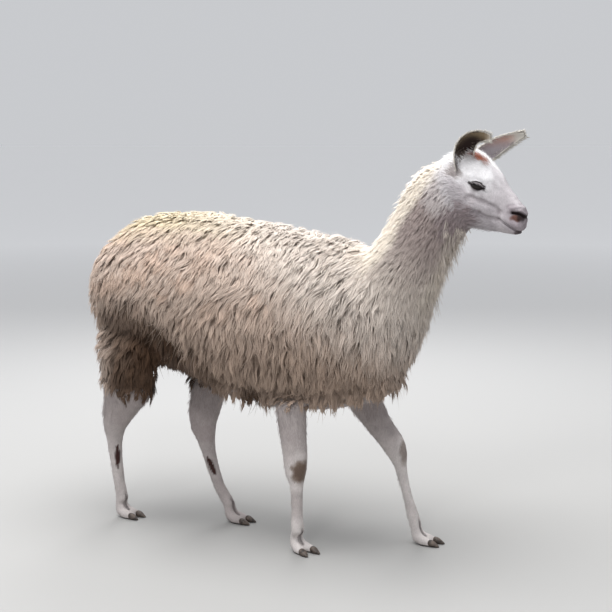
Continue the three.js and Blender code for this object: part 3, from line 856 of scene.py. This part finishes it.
def unit(vectors):
    return vectors / np.maximum(np.linalg.norm(vectors, axis=-1, keepdims=True), 1e-9)


def columns(rows):
    """Rows of mixed values, such as a root and a length for each hair, as one array for each."""
    return [np.array(values) for values in zip(*rows)]


def lie(place, out):
    """The way that the coat runs over the skin at each place."""
    x, y, z = place.T
    fall = np.radians(np.interp(x, FALL_PLACES, FALL_DEGREES))
    for strength, size, seed in ((0.20, 0.35, 5), (0.28, 0.12, 6), (0.34, 0.05, 7)):
        fall += strength * soft_noise(place, size, seed)
    top = ramp(out[:, 2], 0.25, 0.85)
    fall += 0.35 * top * soft_noise(place, 0.07, 8)
    parting = 1.1 * top * np.clip(y / 0.03, -1, 1)
    run = np.column_stack((-np.cos(fall) * (1 - 0.4 * top), parting, -np.sin(fall)))
    crown = np.interp(z, (1.17, 1.30, 1.38), (-0.25, 0.25, 0.55))
    back = np.column_stack((np.full(len(x), -0.80), 0.35 * np.sign(y), crown))
    hem, head = wool_hem(x), on_head(place)
    for way, mask in (
        (np.array((-0.12, 0, -1.0)), 0.85 * ramp(z, hem + 0.14, hem + 0.05)),
        (-NECK_AXIS + (-0.15, 0, -0.25), ramp(along_neck(place), -0.04, 0.16) * (1 - head)),
        (back, head),
        (DOWN, on_leg(place)),
        (np.array((0.9, 0, -0.45)), ramp(z, 0.060, 0.036)),
    ):
        run = run * (1 - mask[:, None]) + way * mask[:, None]
    run -= out * (run * out).sum(axis=1, keepdims=True)
    return unit(run)


def comb(roots, out, length, depth, hang):
    """Guide lines of the locks, STEPS + 1 points each, and the skin's normal along them."""
    line, faces = [roots - out * 0.003], [out]
    place, way = roots.copy(), lie(roots, out)
    step = length / STEPS
    previous = np.zeros(len(roots))
    for k in range(1, STEPS + 1):
        height = depth * (k / STEPS) ** 0.75
        forward = np.sqrt(np.maximum(step**2 - (height - previous) ** 2, (0.25 * step) ** 2))
        under = (ramp(out[:, 2], 0.10, -0.55) * hang)[:, None]
        way = unit(0.45 * way + 0.55 * (lie(place, out) * (1 - under) + DOWN * under * 1.4))
        place = place + way * forward[:, None]
        ground, out = columns(hide_tree.find_nearest(p)[:2] for p in place.tolist())
        above = ((place - ground) * out).sum(axis=1)
        lift = np.where(above < height, height - above, (height - above) * (1 - under[:, 0]))
        place = place + out * lift[:, None]
        previous = height
        line.append(place.copy())
        faces.append(out.copy())
    return np.stack(line, axis=1), np.stack(faces, axis=1)


def strands(roots, out, way, length, rise, droop):
    """Guide lines that leave the skin along a way, rise off it by a share of their length
    and droop, and the skin's normal along them."""
    t = np.linspace(0, 1, STEPS + 1)[None, :, None]
    length = np.reshape(length, (-1, 1, 1)) * np.ones((len(roots), 1, 1))
    rise = np.reshape(rise, (-1, 1, 1)) * length
    line = (roots - out * 0.002)[:, None] + way[:, None] * length * t
    line = line + out[:, None] * rise * np.sin(t * math.pi / 2)
    line[:, :, 2] -= (droop * length * t**2)[:, :, 0]
    return line, np.repeat(out[:, None], STEPS + 1, axis=1)


def scatter(density, seed, apart=0.0):
    """Random roots on the skin, density(face middles) per square metre, and the way that the
    skin faces there. No two roots share a cell of the size apart."""
    draw = np.random.default_rng(seed)
    weight = density(face_middle) * face_area
    count = int(weight.sum())
    picked = draw.choice(len(weight), count, p=weight / weight.sum())
    u, v = draw.random(count), draw.random(count)
    over = u + v > 1
    u[over], v[over] = 1 - u[over], 1 - v[over]
    corners = skin_at[skin_faces[picked]]
    is_quad = skin_faces[picked, 2] != skin_faces[picked, 3]
    opposite = np.where((draw.random(count) < 0.5) | ~is_quad, 1, 3)
    a, b, c = corners[:, 0], corners[np.arange(count), opposite], corners[:, 2]
    roots = a + (b - a) * u[:, None] + (c - a) * v[:, None]
    if not apart:
        return roots, face_out[picked]
    cells = {}
    spacing = apart(roots) if callable(apart) else np.full(count, apart)
    for i, (root, gap) in enumerate(zip(roots.tolist(), spacing.tolist())):
        cells.setdefault(tuple(math.floor(c / gap) for c in root), i)
    kept = list(cells.values())
    return roots[kept], face_out[picked][kept]


# An unwrap of a coarse copy of the skin: each wisp takes its small patch of the bake from
# the place of its root on it.
pattern = add("pattern", skin.data.copy())
apply(pattern, "DECIMATE", ratio=0.04)
with editing(pattern):
    bpy.ops.mesh.quads_convert_to_tris()
    bpy.ops.uv.smart_project(angle_limit=math.radians(66), island_margin=0.003)
pattern_tree = tree_of(pattern)
pattern_corners = np.array([p.vertices[:] for p in pattern.data.polygons])
pattern_at = (read(pattern.data.vertices, "co") - np.array(SHIFT))[pattern_corners]
pattern_uv = read(pattern.data.uv_layers.active.data, "uv", 2).reshape(-1, 3, 2)
bpy.data.objects.remove(pattern)


def unwrapped(roots):
    """Where each root lies on the unwrap of the skin."""
    at, _, index, _ = columns(pattern_tree.find_nearest(p) for p in roots.tolist())
    a, b, c = (pattern_at[index, k] for k in range(3))
    ab, ac, ap = b - a, c - a, at - a
    bb, bc, cc = (ab * ab).sum(1), (ab * ac).sum(1), (ac * ac).sum(1)
    pb, pc = (ap * ab).sum(1), (ap * ac).sum(1)
    scale = np.maximum(bb * cc - bc * bc, 1e-18)
    v, w = (cc * pb - bc * pc) / scale, (bb * pc - bc * pb) / scale
    uv = pattern_uv[index]
    home = uv[:, 0] + (uv[:, 1] - uv[:, 0]) * v[:, None] + (uv[:, 2] - uv[:, 0]) * w[:, None]
    return np.clip(home, 0.002, 0.998)


def wisps(line, faces, lock, spread, girth, rings, seed, wave=0.0, draw_in=0.75):
    """Wisps along the guide lines: lock says which guide each follows, spread how wide the
    lock is at its root and girth the half width of a wisp. Returns rings of three corners and
    a tip for each wisp, the way that each corner is shaded as facing, and a random number."""
    draw = np.random.default_rng(seed)
    count = len(lock)
    line, faces, spread = line[lock], faces[lock], spread[lock]
    reach = draw.uniform(0.72, 1.06, count)
    side_at, up_at = draw.normal(0, 0.52, count), draw.uniform(-0.30, 0.35, count)
    thin = 1 - girth / np.max(girth)
    side_at, up_at = side_at * (1 + 0.35 * thin), up_at + 0.45 * thin
    back_at = draw.normal(0, 0.5, count)
    phase, pitch = draw.uniform(0, 6.28, lock.max() + 1)[lock], draw.uniform(0.8, 1.25, count)
    phase = phase + draw.normal(0, 0.5, count)
    total = np.linalg.norm(np.diff(line, axis=1), axis=2).sum(axis=1)
    rows = np.arange(count)
    centre, ups = [], []
    for t in np.linspace(0, 1, rings + 1) ** 0.9:
        at = np.clip(t * reach * STEPS, 0, STEPS + 0.6)
        low = np.minimum(at.astype(int), STEPS - 1)
        part = (at - low)[:, None]
        place = line[rows, low] * (1 - part) + line[rows, low + 1] * part
        up = unit(faces[rows, low])
        run = unit(line[rows, low + 1] - line[rows, low])
        across = unit(np.cross(run, up))
        close = 1 - draw_in * t**1.3
        sway = wave * np.sin(total * t * reach / CRIMP * 6.28 * pitch * 0.5 + phase) * t**0.6
        place = place + across * (side_at * spread * close + sway)[:, None]
        higher, behind = up_at * spread * close * min(1, t * 3), back_at * spread * (1 - t)
        place += up * higher[:, None] + run * behind[:, None]
        if wave:
            place += up * (0.4 * wave * np.cos(total * t / CRIMP * 3.14 * pitch + phase) * t)[:, None]
        centre.append(place)
        ups.append(up)
    centre = np.stack(centre, axis=1)
    corners = np.empty((count, rings * 3 + 1, 3))
    facing = np.empty_like(corners)
    for r, taper in zip(range(rings), (0.75, 1.0, 0.8, 0.5)):
        run = unit(centre[:, r + 1] - centre[:, max(r - 1, 0)])
        across = unit(np.cross(run, ups[r]))
        up = np.cross(across, run)
        wide = np.reshape(girth * taper, (-1, 1))
        corners[:, 3 * r] = centre[:, r] - across * wide
        corners[:, 3 * r + 1] = centre[:, r] + up * wide * 0.75
        corners[:, 3 * r + 2] = centre[:, r] + across * wide
        for k, lean in enumerate((-0.7, 0.0, 0.7)):
            facing[:, 3 * r + k] = unit(ups[r] + 0.5 * up + lean * across)
    corners[:, -1] = centre[:, -1]
    facing[:, -1] = ups[-1]
    return corners, facing, draw.random(count)


def softened(corners, facing, shapes):
    """Shading normals of each face's corners: the body's, leaned over to the face's own where
    the face turns away from it, so that wool shades as a soft mass."""
    least = 0.35
    found = []
    for shape in shapes:
        at = corners[:, shape]
        (a, b), (c, d) = ((1, 0), (2, 0)) if len(shape) == 3 else ((2, 0), (3, 1))
        own = unit(np.cross(at[:, a] - at[:, b], at[:, c] - at[:, d]))
        for k in shape:
            agree = (facing[:, k] * own).sum(axis=1, keepdims=True)
            found.append(unit(facing[:, k] + own * np.maximum(least - agree, 0)))
    return np.stack(found, axis=1)


def coat_piece(name, corners, facing, chance, tint):
    """One mesh of many wisps, with its bake map, colours and places from root to tip."""
    count, per, _ = corners.shape
    rings = (per - 1) // 3
    sides = [(3 * r + k, 3 * r + (k + 1) % 3) for r in range(rings) for k in range(3)]
    shapes = [(a, b, b + 3, a + 3) for a, b in sides[:-3]]
    shapes += [(a, b, 3 * rings) for a, b in sides[-3:]] + [(2, 1, 0)]
    loops = np.array([i for shape in shapes for i in shape])
    starts = np.cumsum([0] + [len(shape) for shape in shapes])[:-1]
    wisp = np.arange(count)[:, None]
    mesh = bpy.data.meshes.new(name)
    mesh.vertices.add(count * per)
    mesh.vertices.foreach_set("co", (corners + np.array(SHIFT)).ravel())
    mesh.loops.add(count * len(loops))
    mesh.loops.foreach_set("vertex_index", (loops + wisp * per).ravel())
    mesh.polygons.add(count * len(shapes))
    mesh.polygons.foreach_set("loop_start", (starts + wisp * len(loops)).ravel())
    mesh.polygons.foreach_set("use_smooth", np.ones(count * len(shapes), bool))
    mesh.update(calc_edges=True)
    if facing is not None:
        mesh.normals_split_custom_set(softened(corners, facing, shapes).reshape(-1, 3).tolist())
    along = np.append(np.repeat(np.arange(rings) / rings, 3), 1.0)
    across = np.append(np.tile((0.0, 0.5, 1.0), rings), 0.5)
    home = unwrapped(corners[:, :3].mean(axis=1))
    patch = home[:, None] + (np.column_stack((across, along)) - 0.5) * PATCH
    layer = mesh.uv_layers.new(name="OFBake")
    layer.data.foreach_set("uv", patch[:, loops].ravel())
    for label, values in (("Strand", np.tile(along, count)), ("Chance", np.repeat(chance, per))):
        store = mesh.attributes.new(label, "FLOAT", "POINT")
        store.data.foreach_set("value", values)
    paint_points(mesh, np.repeat(tint, per, axis=0))
    mesh.materials.append(wool)
    piece = add(name, mesh)
    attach(piece, "root")


def grow(name, guides, tint, each, rings, seed, spread, girth, slot="fleece", soft=True, **form):
    """Clothes the guide lines with so many wisps each, in the colours of their locks. Soft
    pieces take the body's shading normals."""
    line, faces = guides
    lock, spread = np.repeat(np.arange(len(line)), each), spread * np.ones(len(line))
    corners, facing, chance = wisps(line, faces, lock, spread, girth, rings, seed, **form)
    corners[:, :, 2] = np.maximum(corners[:, :, 2], 0.0004)  # off the floor
    coat_piece(name, corners, facing if soft else None, chance, tint[lock])


# Wool fibre: matt, with a faint silky sheen. Roots are greyer from dust and shade, tips are
# bleached. A fibre is 0.03 mm thick; the streaks on a wisp are drawn at about 1 mm.
FIBRE = {"Roughness": 0.78, "Specular IOR Level": 0.22, "Sheen Weight": 0.12, "Sheen Roughness": 0.5}
ROOT_TO_TIP = {"From Min": 0.0, "From Max": 0.8, "To Min": 0.87, "To Max": 1.04}
wool, wool_shader = new_material("llama wool", FIBRE)
wool_tint = node(wool, "Attribute", attribute_name="Tint").outputs["Color"]
wool_strand = node(wool, "Attribute", attribute_name="Strand").outputs["Fac"]
wool_chance = node(wool, "Attribute", attribute_name="Chance").outputs["Fac"]
wool_place = node(wool, "TexCoord").outputs["Object"]
wool_streak = node(wool, "TexNoise", {"Vector": wool_place, "Scale": 620.0, "Detail": 2.0}).outputs["Fac"]
wool_depth = node(wool, "MapRange", {"Value": wool_strand, **ROOT_TO_TIP})
wool_each = node(wool, "MapRange", {"Value": wool_chance, "To Min": 0.84, "To Max": 1.10})
wool_fine = node(wool, "MapRange", {"Value": wool_streak, **NOISE_SPAN, "To Min": 0.90, "To Max": 1.06})
wool_first = node(wool, "Math", {0: wool_depth.outputs[0], 1: wool_each.outputs[0]}, operation="MULTIPLY")
wool_shade = node(wool, "Math", {0: wool_first.outputs[0], 1: wool_fine.outputs[0]}, operation="MULTIPLY")
wool_colour = node(wool, "VectorMath", {0: wool_tint, "Scale": wool_shade.outputs[0]}, operation="SCALE")
feed(wool, wool_shader, "Base Color", wool_colour.outputs[0])


def no_ear(place):
    """0 on the ears, which carry fringes of their own."""
    found = np.ones(len(place))
    high = np.where(place[:, 2] > 1.38)[0]
    for name, t in ((name, t) for name in EARS for t in np.linspace(0.10, 1, 13)):
        gap = np.linalg.norm(place[high] - ear_line(name, t)[0], axis=1)
        around_it = 0.012 + 0.020 * ramp(t, 0.05, 0.35)
        found[high] *= ramp(gap, around_it, around_it + 0.006)
    return found


def is_neck(place):
    return ramp(along_neck(place), 0.015, 0.055) * (1 - on_head(place, -0.02, 0.03)) * (1 - on_leg(place))


def is_fleece(place):
    return ramp(along_neck(place), 0.085, 0.045) * (1 - on_leg(place)) * (1 - on_head(place, -0.06, -0.03))


LOCK_GIRTHS = (0.0031, 0.0027, 0.0023, 0.0016, *([0.0012] * 6))  # a few broad wisps under fine ones
FLEECE_CUTS = {  # where each piece starts and ends along the body
    "rump": (-9, 0.06),
    "flank": (0.06, 0.34),
    "barrel": (0.34, 0.66),
    "shoulder": (0.66, 9),
}

roots, out = scatter(
    lambda place: 9000 * is_fleece(place),
    seed=11,
    apart=lambda place: np.where(place[:, 2] < 0.72, 0.0200, 0.0215),
)
draw = np.random.default_rng(12)
x, y, z = roots.T
length = np.interp(x, (-0.19, 0.0, 0.3, 0.6, 0.9, 1.1), (0.062, 0.076, 0.086, 0.096, 0.112, 0.108))
length *= 1 - 0.15 * ramp(out[:, 2], 0.5, 0.95)
length *= 1 - 0.62 * ramp(out[:, 2], -0.15, -0.70)
length *= draw.uniform(0.75, 1.18, len(roots))
ragged = 0.028 * soft_noise(roots, 0.07, 14) + draw.uniform(-0.016, 0.030, len(roots))
length = np.minimum(length, np.maximum(z - wool_hem(x) + ragged + 0.006, 0.026))
shaggy = ramp(z, 1.00, 0.78)
depth = coat_depth(roots) * (1.02 - draw.random(len(roots)) * (0.26 + 0.20 * shaggy))
depth = np.minimum(depth, (0.55 - 0.13 * ramp(out[:, 2], 0.2, 0.7)) * length)
line, faces = comb(roots, out, length, depth, hang=1.0)
spread = np.interp(length, (0.03, 0.11), (0.009, 0.0130)) * draw.uniform(0.75, 1.25, len(roots))
seen = line[:, SHOWS].copy()
seen[:, 2] = np.maximum(seen[:, 2], wool_hem(seen[:, 0]) + 0.035)
mottle = 1 + (draw.random(len(roots)) - 0.5) * (0.16 + 0.30 * shaggy)
tint = markings(seen, faces[:, SHOWS])[0] * mottle[:, None]
together = 0.30 + 0.36 * shaggy  # how far the wisps of a lock draw together at its tip
fleece = {}
for name, (start, end) in FLEECE_CUTS.items():
    here = (x >= start) & (x < end)
    sides = {"_right": y < 0, "_left": y >= 0} if name != "rump" else {"": True}
    fleece.update({f"fleece_{name}{side}": here & half for side, half in sides.items()})
each = len(LOCK_GIRTHS)
for seed, (name, here) in enumerate(fleece.items(), 20):
    girth = np.tile(LOCK_GIRTHS, here.sum()) * draw.uniform(0.8, 1.2, here.sum() * each)
    form = {"spread": spread[here], "girth": girth, "draw_in": np.repeat(together[here], each)}
    grow(name, (line[here], faces[here]), tint[here], each, rings=3, seed=seed, wave=0.0075, **form)

# ---------------------------------------------------------------------------
# Tail. A short dock under a brush of long straight wool that lies down on the
# back of the rump, between the thighs.
# ---------------------------------------------------------------------------


def tail_density(place):
    middle = 9000 * ramp(place[:, 0], -0.125, -0.140) * (np.abs(place[:, 1]) < 0.065)
    return middle * ramp(place[:, 2], 0.66, 0.70) * ramp(place[:, 2], 1.12, 1.06)


roots, out = scatter(tail_density, seed=31, apart=0.016)
draw = np.random.default_rng(32)
length = draw.uniform(0.075, 0.125, len(roots))
guides = comb(roots, out, length, depth=np.full(len(roots), 0.030), hang=1.0)
tint = markings(roots, out)[0] * 0.97
grow("tail_brush", guides, tint, each=10, rings=4, seed=33, spread=0.010, girth=0.0022, wave=0.004)

# ---------------------------------------------------------------------------
# Neck. Shorter, finer and fuzzier wool than the body's, longest where it falls
# over the shoulder, with a cream fringe that stands up along the nape and a
# softer one down the throat.
# ---------------------------------------------------------------------------
NECK_GIRTHS = (0.0015, 0.0013, 0.0011, 0.0009, 0.0009, 0.0009)
THROAT = "#d6cbc0"

roots, out = scatter(
    lambda place: 30000 * is_neck(place),
    seed=41,
    apart=lambda place: np.interp(along_neck(place), (0.02, 0.14, 0.30), (0.0124, 0.0100, 0.0085)),
)
draw = np.random.default_rng(42)
reach = along_neck(roots)
length = np.interp(reach, (0.0, 0.08, 0.20, 0.42), (0.095, 0.074, 0.050, 0.036))
length = length * draw.uniform(0.7, 1.2, len(roots))
depth = coat_depth(roots) * draw.uniform(0.64, 0.92, len(roots))
depth = depth * (1 + 0.45 * ramp(behind_neck(roots), -0.04, -0.09))
line, faces = comb(roots, out, length, np.minimum(depth, 0.42 * length), hang=0.35)
tint = detail_marks(roots, out) * draw.uniform(0.95, 1.05, len(roots))[:, None]
spread = np.interp(reach, (0.02, 0.30), (0.0065, 0.0042))
fine = np.interp(reach, (0.02, 0.30), (1.0, 0.70))
for name, here, seed in (("neck_wool_right", roots[:, 1] < 0, 43), ("neck_wool_left", roots[:, 1] >= 0, 48)):
    form = {"spread": spread[here], "girth": np.outer(fine[here], NECK_GIRTHS).ravel(), "draw_in": 0.40}
    guides = line[here], faces[here]
    grow(name, guides, tint[here], each=len(NECK_GIRTHS), rings=2, seed=seed, wave=0.0012, **form)


def nape_density(place):
    nape = ramp(behind_neck(place), 0.030, 0.055) * ramp(np.abs(place[:, 1]), 0.045, 0.020)
    nape = nape * (place[:, 0] < 1.345)
    return 30000 * nape * ramp(along_neck(place), 0.06, 0.12) * no_ear(place)


roots, out = scatter(nape_density, seed=44, apart=0.0080)
draw = np.random.default_rng(45)
way = unit(lie(roots, out) + draw.normal(0, 0.14, roots.shape))
length = draw.uniform(0.028, 0.048, len(roots)) * (1 - 0.55 * on_head(roots, -0.07, 0.03))
guides = strands(roots, out, way * 0.8, length, rise=draw.uniform(0.32, 0.60, len(roots)), droop=0.12)
tint = rgb(NECK_FRINGE) * draw.uniform(0.98, 1.12, len(roots))[:, None]
grow("nape_fringe", guides, tint, each=5, rings=3, seed=46, spread=0.005, girth=0.0013, wave=0.002)


def throat_density(place):
    jaw_angle = spot(folded(place), (1.308, 0.066, 1.170), (0.03, 0.03, 0.05))
    throat = ramp(-behind_neck(place), 0.040, 0.066) * ramp(np.abs(place[:, 1]), 0.050, 0.025)
    hair = 9000 * np.maximum(throat, 0.35 * jaw_angle)
    return hair * ramp(along_neck(place), -0.06, 0.04) * (1 - on_head(place, -0.06, 0.0))


roots, out = scatter(throat_density, seed=47, apart=0.0110)
draw = np.random.default_rng(48)
way = unit(DOWN + (0.05, 0, 0) + draw.normal(0, 0.16, roots.shape))
length = draw.uniform(0.040, 0.074, len(roots)) * (1 - 0.35 * ramp(along_neck(roots), 0.28, 0.36))
raised = roots + out * 0.45 * coat_depth(roots)[:, None]
guides = strands(raised, out, way, length, rise=0.08, droop=0.0)
tint = rgb(THROAT) * draw.uniform(0.80, 1.1, len(roots))[:, None]
form = {"spread": 0.008, "girth": 0.0007, "wave": 0.004, "draw_in": 0.2}
grow("throat_fringe", guides, tint, each=4, rings=3, seed=49, **form)

# ---------------------------------------------------------------------------
# Hair of the head. Short and close on the face, a little longer on the jaw,
# chin and crown, with lashes over the eyes and fringed ears.
# ---------------------------------------------------------------------------
SHAGGY_SPOTS = (  # strength, centre and reach: jaw, crown, chin and forehead
    (1.0, (1.365, 0.055, 1.190), (0.075, 0.09, 0.060)),
    (1.0, (1.350, 0.0, 1.395), (0.085, 0.08, 0.065)),
    (0.5, (1.44, 0.03, 1.175), (0.06, 0.05, 0.03)),
    (0.45, (1.440, 0.0, 1.385), (0.060, 0.06, 0.050)),
)
LASH, LASH_COUNT, LASH_ROWS = "#aaa3a5", 34, 2
EAR_BACK_HAIRS, EAR_INNER_HAIRS = 1700, 420
EAR_TUFTS = {"ear_left": "#d8cfcc", "ear_right": "#8a7d70"}


def head_density(place):
    """Close hair, bare at the nostrils, lips and lids."""
    half = folded(place)
    bare = groove(half, CARVED["nostril"], 0.010) + groove(half, CARVED["mouth"], 0.004)
    arm = half - np.array(EYE_CENTRE)
    eye = np.linalg.norm(arm, axis=1) < 0.0265
    eye &= np.abs(arm[:, 2] + 0.25 * (half[:, 0] - EYE_CENTRE.x)) < 0.016
    return 110000 * on_head(place, -0.03, 0.01) * (1 - np.clip(bare, 0, 1)) * ~eye * no_ear(place)


roots, out = scatter(head_density, seed=51, apart=0.0033)
draw = np.random.default_rng(52)
half = folded(roots)
shaggy = sum(strength * spot(half, centre, reach) for strength, centre, reach in SHAGGY_SPOTS)
shaggy = np.clip(shaggy + 1.2 * (1 - on_head(roots, 0.00, 0.08)), 0, 1)
muzzle = ramp(roots[:, 0], 1.46, 1.53)
length = (0.0115 + 0.016 * shaggy - 0.0060 * muzzle) * draw.uniform(0.7, 1.25, len(roots))
way = unit(lie(roots, out) + draw.normal(0, 0.16, roots.shape))
rise = 0.24 + 0.10 * shaggy - 0.12 * muzzle - 0.12 * (1 - on_head(roots, 0.00, 0.06))
tint = detail_marks(roots, out) * draw.uniform(0.84, 1.08, len(roots))[:, None]
guides = strands(roots, out, way, length, rise, droop=0.0)
form = {"spread": 0.0004, "girth": 0.0006 + 0.0004 * shaggy, "slot": "short_hair"}
grow("face_hair", guides, tint, each=1, rings=2, seed=53, **form)

draw = np.random.default_rng(54)
lashes = []
for side in (1, -1):
    centre, look, ahead, up = eye_frame(side)
    for a, row in ((a, row) for a in np.linspace(-0.0175, 0.0185, LASH_COUNT) for row in range(LASH_ROWS)):
        top = lid_edges(a)[0] + 0.0008 + 0.0014 * row
        onward = math.sqrt(EYE_RADIUS**2 - min(a * a, 0.0003))
        sight = unit(look * onward + ahead * a + up * top)
        fan = ahead * (a / 0.02 * 0.55 + draw.normal(0, 0.12)) + look * 0.75
        fan = unit(fan - up * (0.55 + draw.normal(0, 0.12)))
        lashes.append((centre + sight * (EYE_RADIUS + 0.0030), sight, fan, draw.uniform(0.010, 0.017)))
tint = np.tile(rgb(LASH), (len(lashes), 1))
guides = strands(*columns(lashes), rise=0.15, droop=0.10)
form = {"spread": 0.0002, "girth": 0.00045, "slot": "short_hair", "soft": False}
grow("lashes", guides, tint, each=1, rings=3, seed=55, **form)

# Ear fringes: short hair on the backs, longer along both rims and at the tip.
draw = np.random.default_rng(56)
ear_hairs = []
for name in EARS:
    is_left = name == "ear_left"
    for _ in range(EAR_BACK_HAIRS):
        t, across = draw.uniform(0.02, 0.99) ** (0.6 if is_left else 1.0), draw.uniform(-1, 1)
        rim = draw.random() < 0.42
        across = math.copysign(1 - abs(draw.normal(0, 0.05)), across) if rim else across
        root = ear_point(name, t, across, 0)
        middle, run, front = ear_line(name, t)
        edge = np.cross(run, front)
        angle = EAR_ROLL * (1 - 0.5 * t) / 2 * across
        outward = edge * math.sin(angle) - front * math.cos(angle)
        if rim:
            outward = unit(edge * math.copysign(1, across) + front * 0.25)
        way = unit(run + outward * 0.2 * rim + draw.normal(0, 0.14, 3))
        tip = float(ramp(t, 0.72, 0.98))
        low_rim = (rim and is_left and root[2] < middle[2]) * (1 - 0.8 * tip)
        length = 0.008 + 0.004 * rim + 0.007 * low_rim + 0.006 * tip * (0.8 if is_left else 1.0)
        length *= draw.uniform(0.7, 1.2)
        rise = 0.08 + (0.14 if rim else 0.0) + 0.14 * low_rim + 0.20 * tip
        ear_hairs.append((root, outward, way, length, rise, rgb(EAR_RIM) * draw.uniform(0.78, 1.0)))
    for _ in range(EAR_INNER_HAIRS):
        t, across = draw.uniform(0.04, 0.80), draw.uniform(-0.95, 0.95)
        if abs(across) < 0.55 and t > 0.25:
            continue
        root = ear_point(name, t, across, 1)
        middle, run, front = ear_line(name, t)
        inward = unit(middle + front * 0.01 - root)
        way = unit(run * 0.8 + front * 0.3 + draw.normal(0, 0.20, 3))
        length = draw.uniform(0.010, 0.019) * (1 - 0.3 * t)
        ear_hairs.append((root, inward, way, length, 0.22, rgb(EAR_TUFTS[name]) * draw.uniform(0.7, 1.05)))
*hairs, tint = columns(ear_hairs)
form = {"spread": 0.0008, "girth": 0.00095, "slot": "short_hair", "soft": False}
grow("ear_fringes", strands(*hairs, droop=0.05), tint, each=1, rings=2, seed=57, **form)

# ---------------------------------------------------------------------------
# Hair of the legs. Close and smooth on the cannons, shaggier at the backs and
# above the knees and hocks, and laid over the roots of the nails.
# ---------------------------------------------------------------------------


def leg_density(place):
    """Close hair, bare on the glands and between the toes."""
    bare = sum(groove(place, path, 0.007) for path in (*GLANDS, *CLEFTS))
    legs = 26000 * ramp(on_leg(place), 0.0, 0.3) * ramp(place[:, 2], 0.004, 0.012)
    return legs * (1 - np.clip(bare, 0, 1))


roots, out = scatter(
    leg_density,
    seed=61,
    apart=lambda place: np.where(place[:, 2] > 0.36, 0.0070, 0.0060),
)
draw = np.random.default_rng(62)
z = roots[:, 2]
shaggy = np.clip(0.7 * ramp(z, 0.34, 0.50) + 0.5 * ramp(-out[:, 0], 0.4, 0.9), 0, 1)
length = (0.015 + 0.018 * shaggy - 0.006 * ramp(z, 0.10, 0.03)) * draw.uniform(0.7, 1.25, len(roots))
way = unit(lie(roots, out) + draw.normal(0, 0.10, roots.shape))
tint = detail_marks(roots, out) * draw.uniform(0.92, 1.07, len(roots))[:, None]
line, faces = strands(roots, out, way, length, rise=0.09 + 0.09 * shaggy, droop=0.0)
line[:, :, 2] = np.maximum(line[:, :, 2], 0.0012)  # the hair over the feet keeps off the floor
form = {"spread": 0.0006, "girth": 0.0009 + 0.0004 * shaggy, "slot": "short_hair"}
grow("leg_hair", (line, faces), tint, each=1, rings=2, seed=63, **form)

# ---------------------------------------------------------------------------
# Strays. Single long hairs that have worked loose of their locks and soften the
# outline of the body and the neck.
# ---------------------------------------------------------------------------
roots, out = scatter(
    lambda place: 1500 * np.maximum(is_fleece(place), 1.6 * is_neck(place)) * no_ear(place),
    seed=71,
)
draw = np.random.default_rng(72)
depth = coat_depth(roots)
way = unit(lie(roots, out) + draw.normal(0, 0.35, roots.shape))
length = 1.4 * depth + draw.uniform(0.012, 0.035, len(roots))
way = unit(way - out * (way * out).sum(axis=1, keepdims=True))
height = depth + draw.uniform(-0.004, 0.006, len(roots))
guides = strands(roots, out, way, length, rise=height / length, droop=0.10)
tint = markings(roots, out)[0] * 1.1
grow("stray_hair", guides, tint, each=1, rings=2, seed=73, spread=0.001, girth=0.0006, wave=0.004)

# ---------------------------------------------------------------------------
# Floor and light. A plain pale floor under soft, even studio light from above.
# ---------------------------------------------------------------------------
FLOOR_REACH = 90
FLOOR_FADE = 12.0  # metres over which the floor pales
FLOOR_COLOURS = ("#989795", "#ffffff")  # underfoot and far off
LAMPS = (  # name, place, size and power
    ("overhead", (-0.4, -0.5, 4.6), 4.4, 300),
    ("right_fill", (0.9, -3.3, 3.4), 0.8, 32),
    ("back_rim", (-2.0, 3.4, 3.4), 2.0, 70),
)
LAMPS_AIM = Vector((0.0, 0.0, 0.7))

bpy.ops.object.select_all(action="DESELECT")
bpy.ops.mesh.primitive_circle_add(vertices=96, radius=FLOOR_REACH, fill_type="NGON", location=(0, 0, -0.0005))
floor = bpy.context.object
floor.name = "floor"
bpy.ops.object.transform_apply(location=True)
# Painted floor: matt and plain, so that nothing draws the eye from the animal.
pale, pale_shader = new_material("pale matt floor", {"Roughness": 0.9})
pale_place = node(pale, "TexCoord").outputs["Object"]
pale_far = node(pale, "VectorMath", {0: pale_place}, operation="LENGTH").outputs["Value"]
pale_share = node(pale, "Math", {0: pale_far, 1: FLOOR_FADE}, operation="DIVIDE").outputs[0]
pale_ramp = node(pale, "ValToRGB", {"Fac": pale_share})
for stop, code in zip(pale_ramp.color_ramp.elements, FLOOR_COLOURS):
    stop.color = linear(code)
feed(pale, pale_shader, "Base Color", pale_ramp.outputs[0])
floor.data.materials.append(pale)

world = bpy.data.worlds.new("studio")
bpy.context.scene.world = world
world.use_nodes = True
sky = world.node_tree.nodes["Background"].inputs
sky["Color"].default_value, sky["Strength"].default_value = linear("#eef0f4"), 0.68
for name, place, size, power in LAMPS:
    lamp = add(name, bpy.data.lights.new(name, "AREA"))
    lamp.data.shape = "DISK"
    lamp.data.size, lamp.data.energy = size, power
    lamp.location = place
    lamp.rotation_euler = (LAMPS_AIM - Vector(place)).to_track_quat("-Z", "Y").to_euler()
bpy.context.scene.view_settings.view_transform = "Standard"
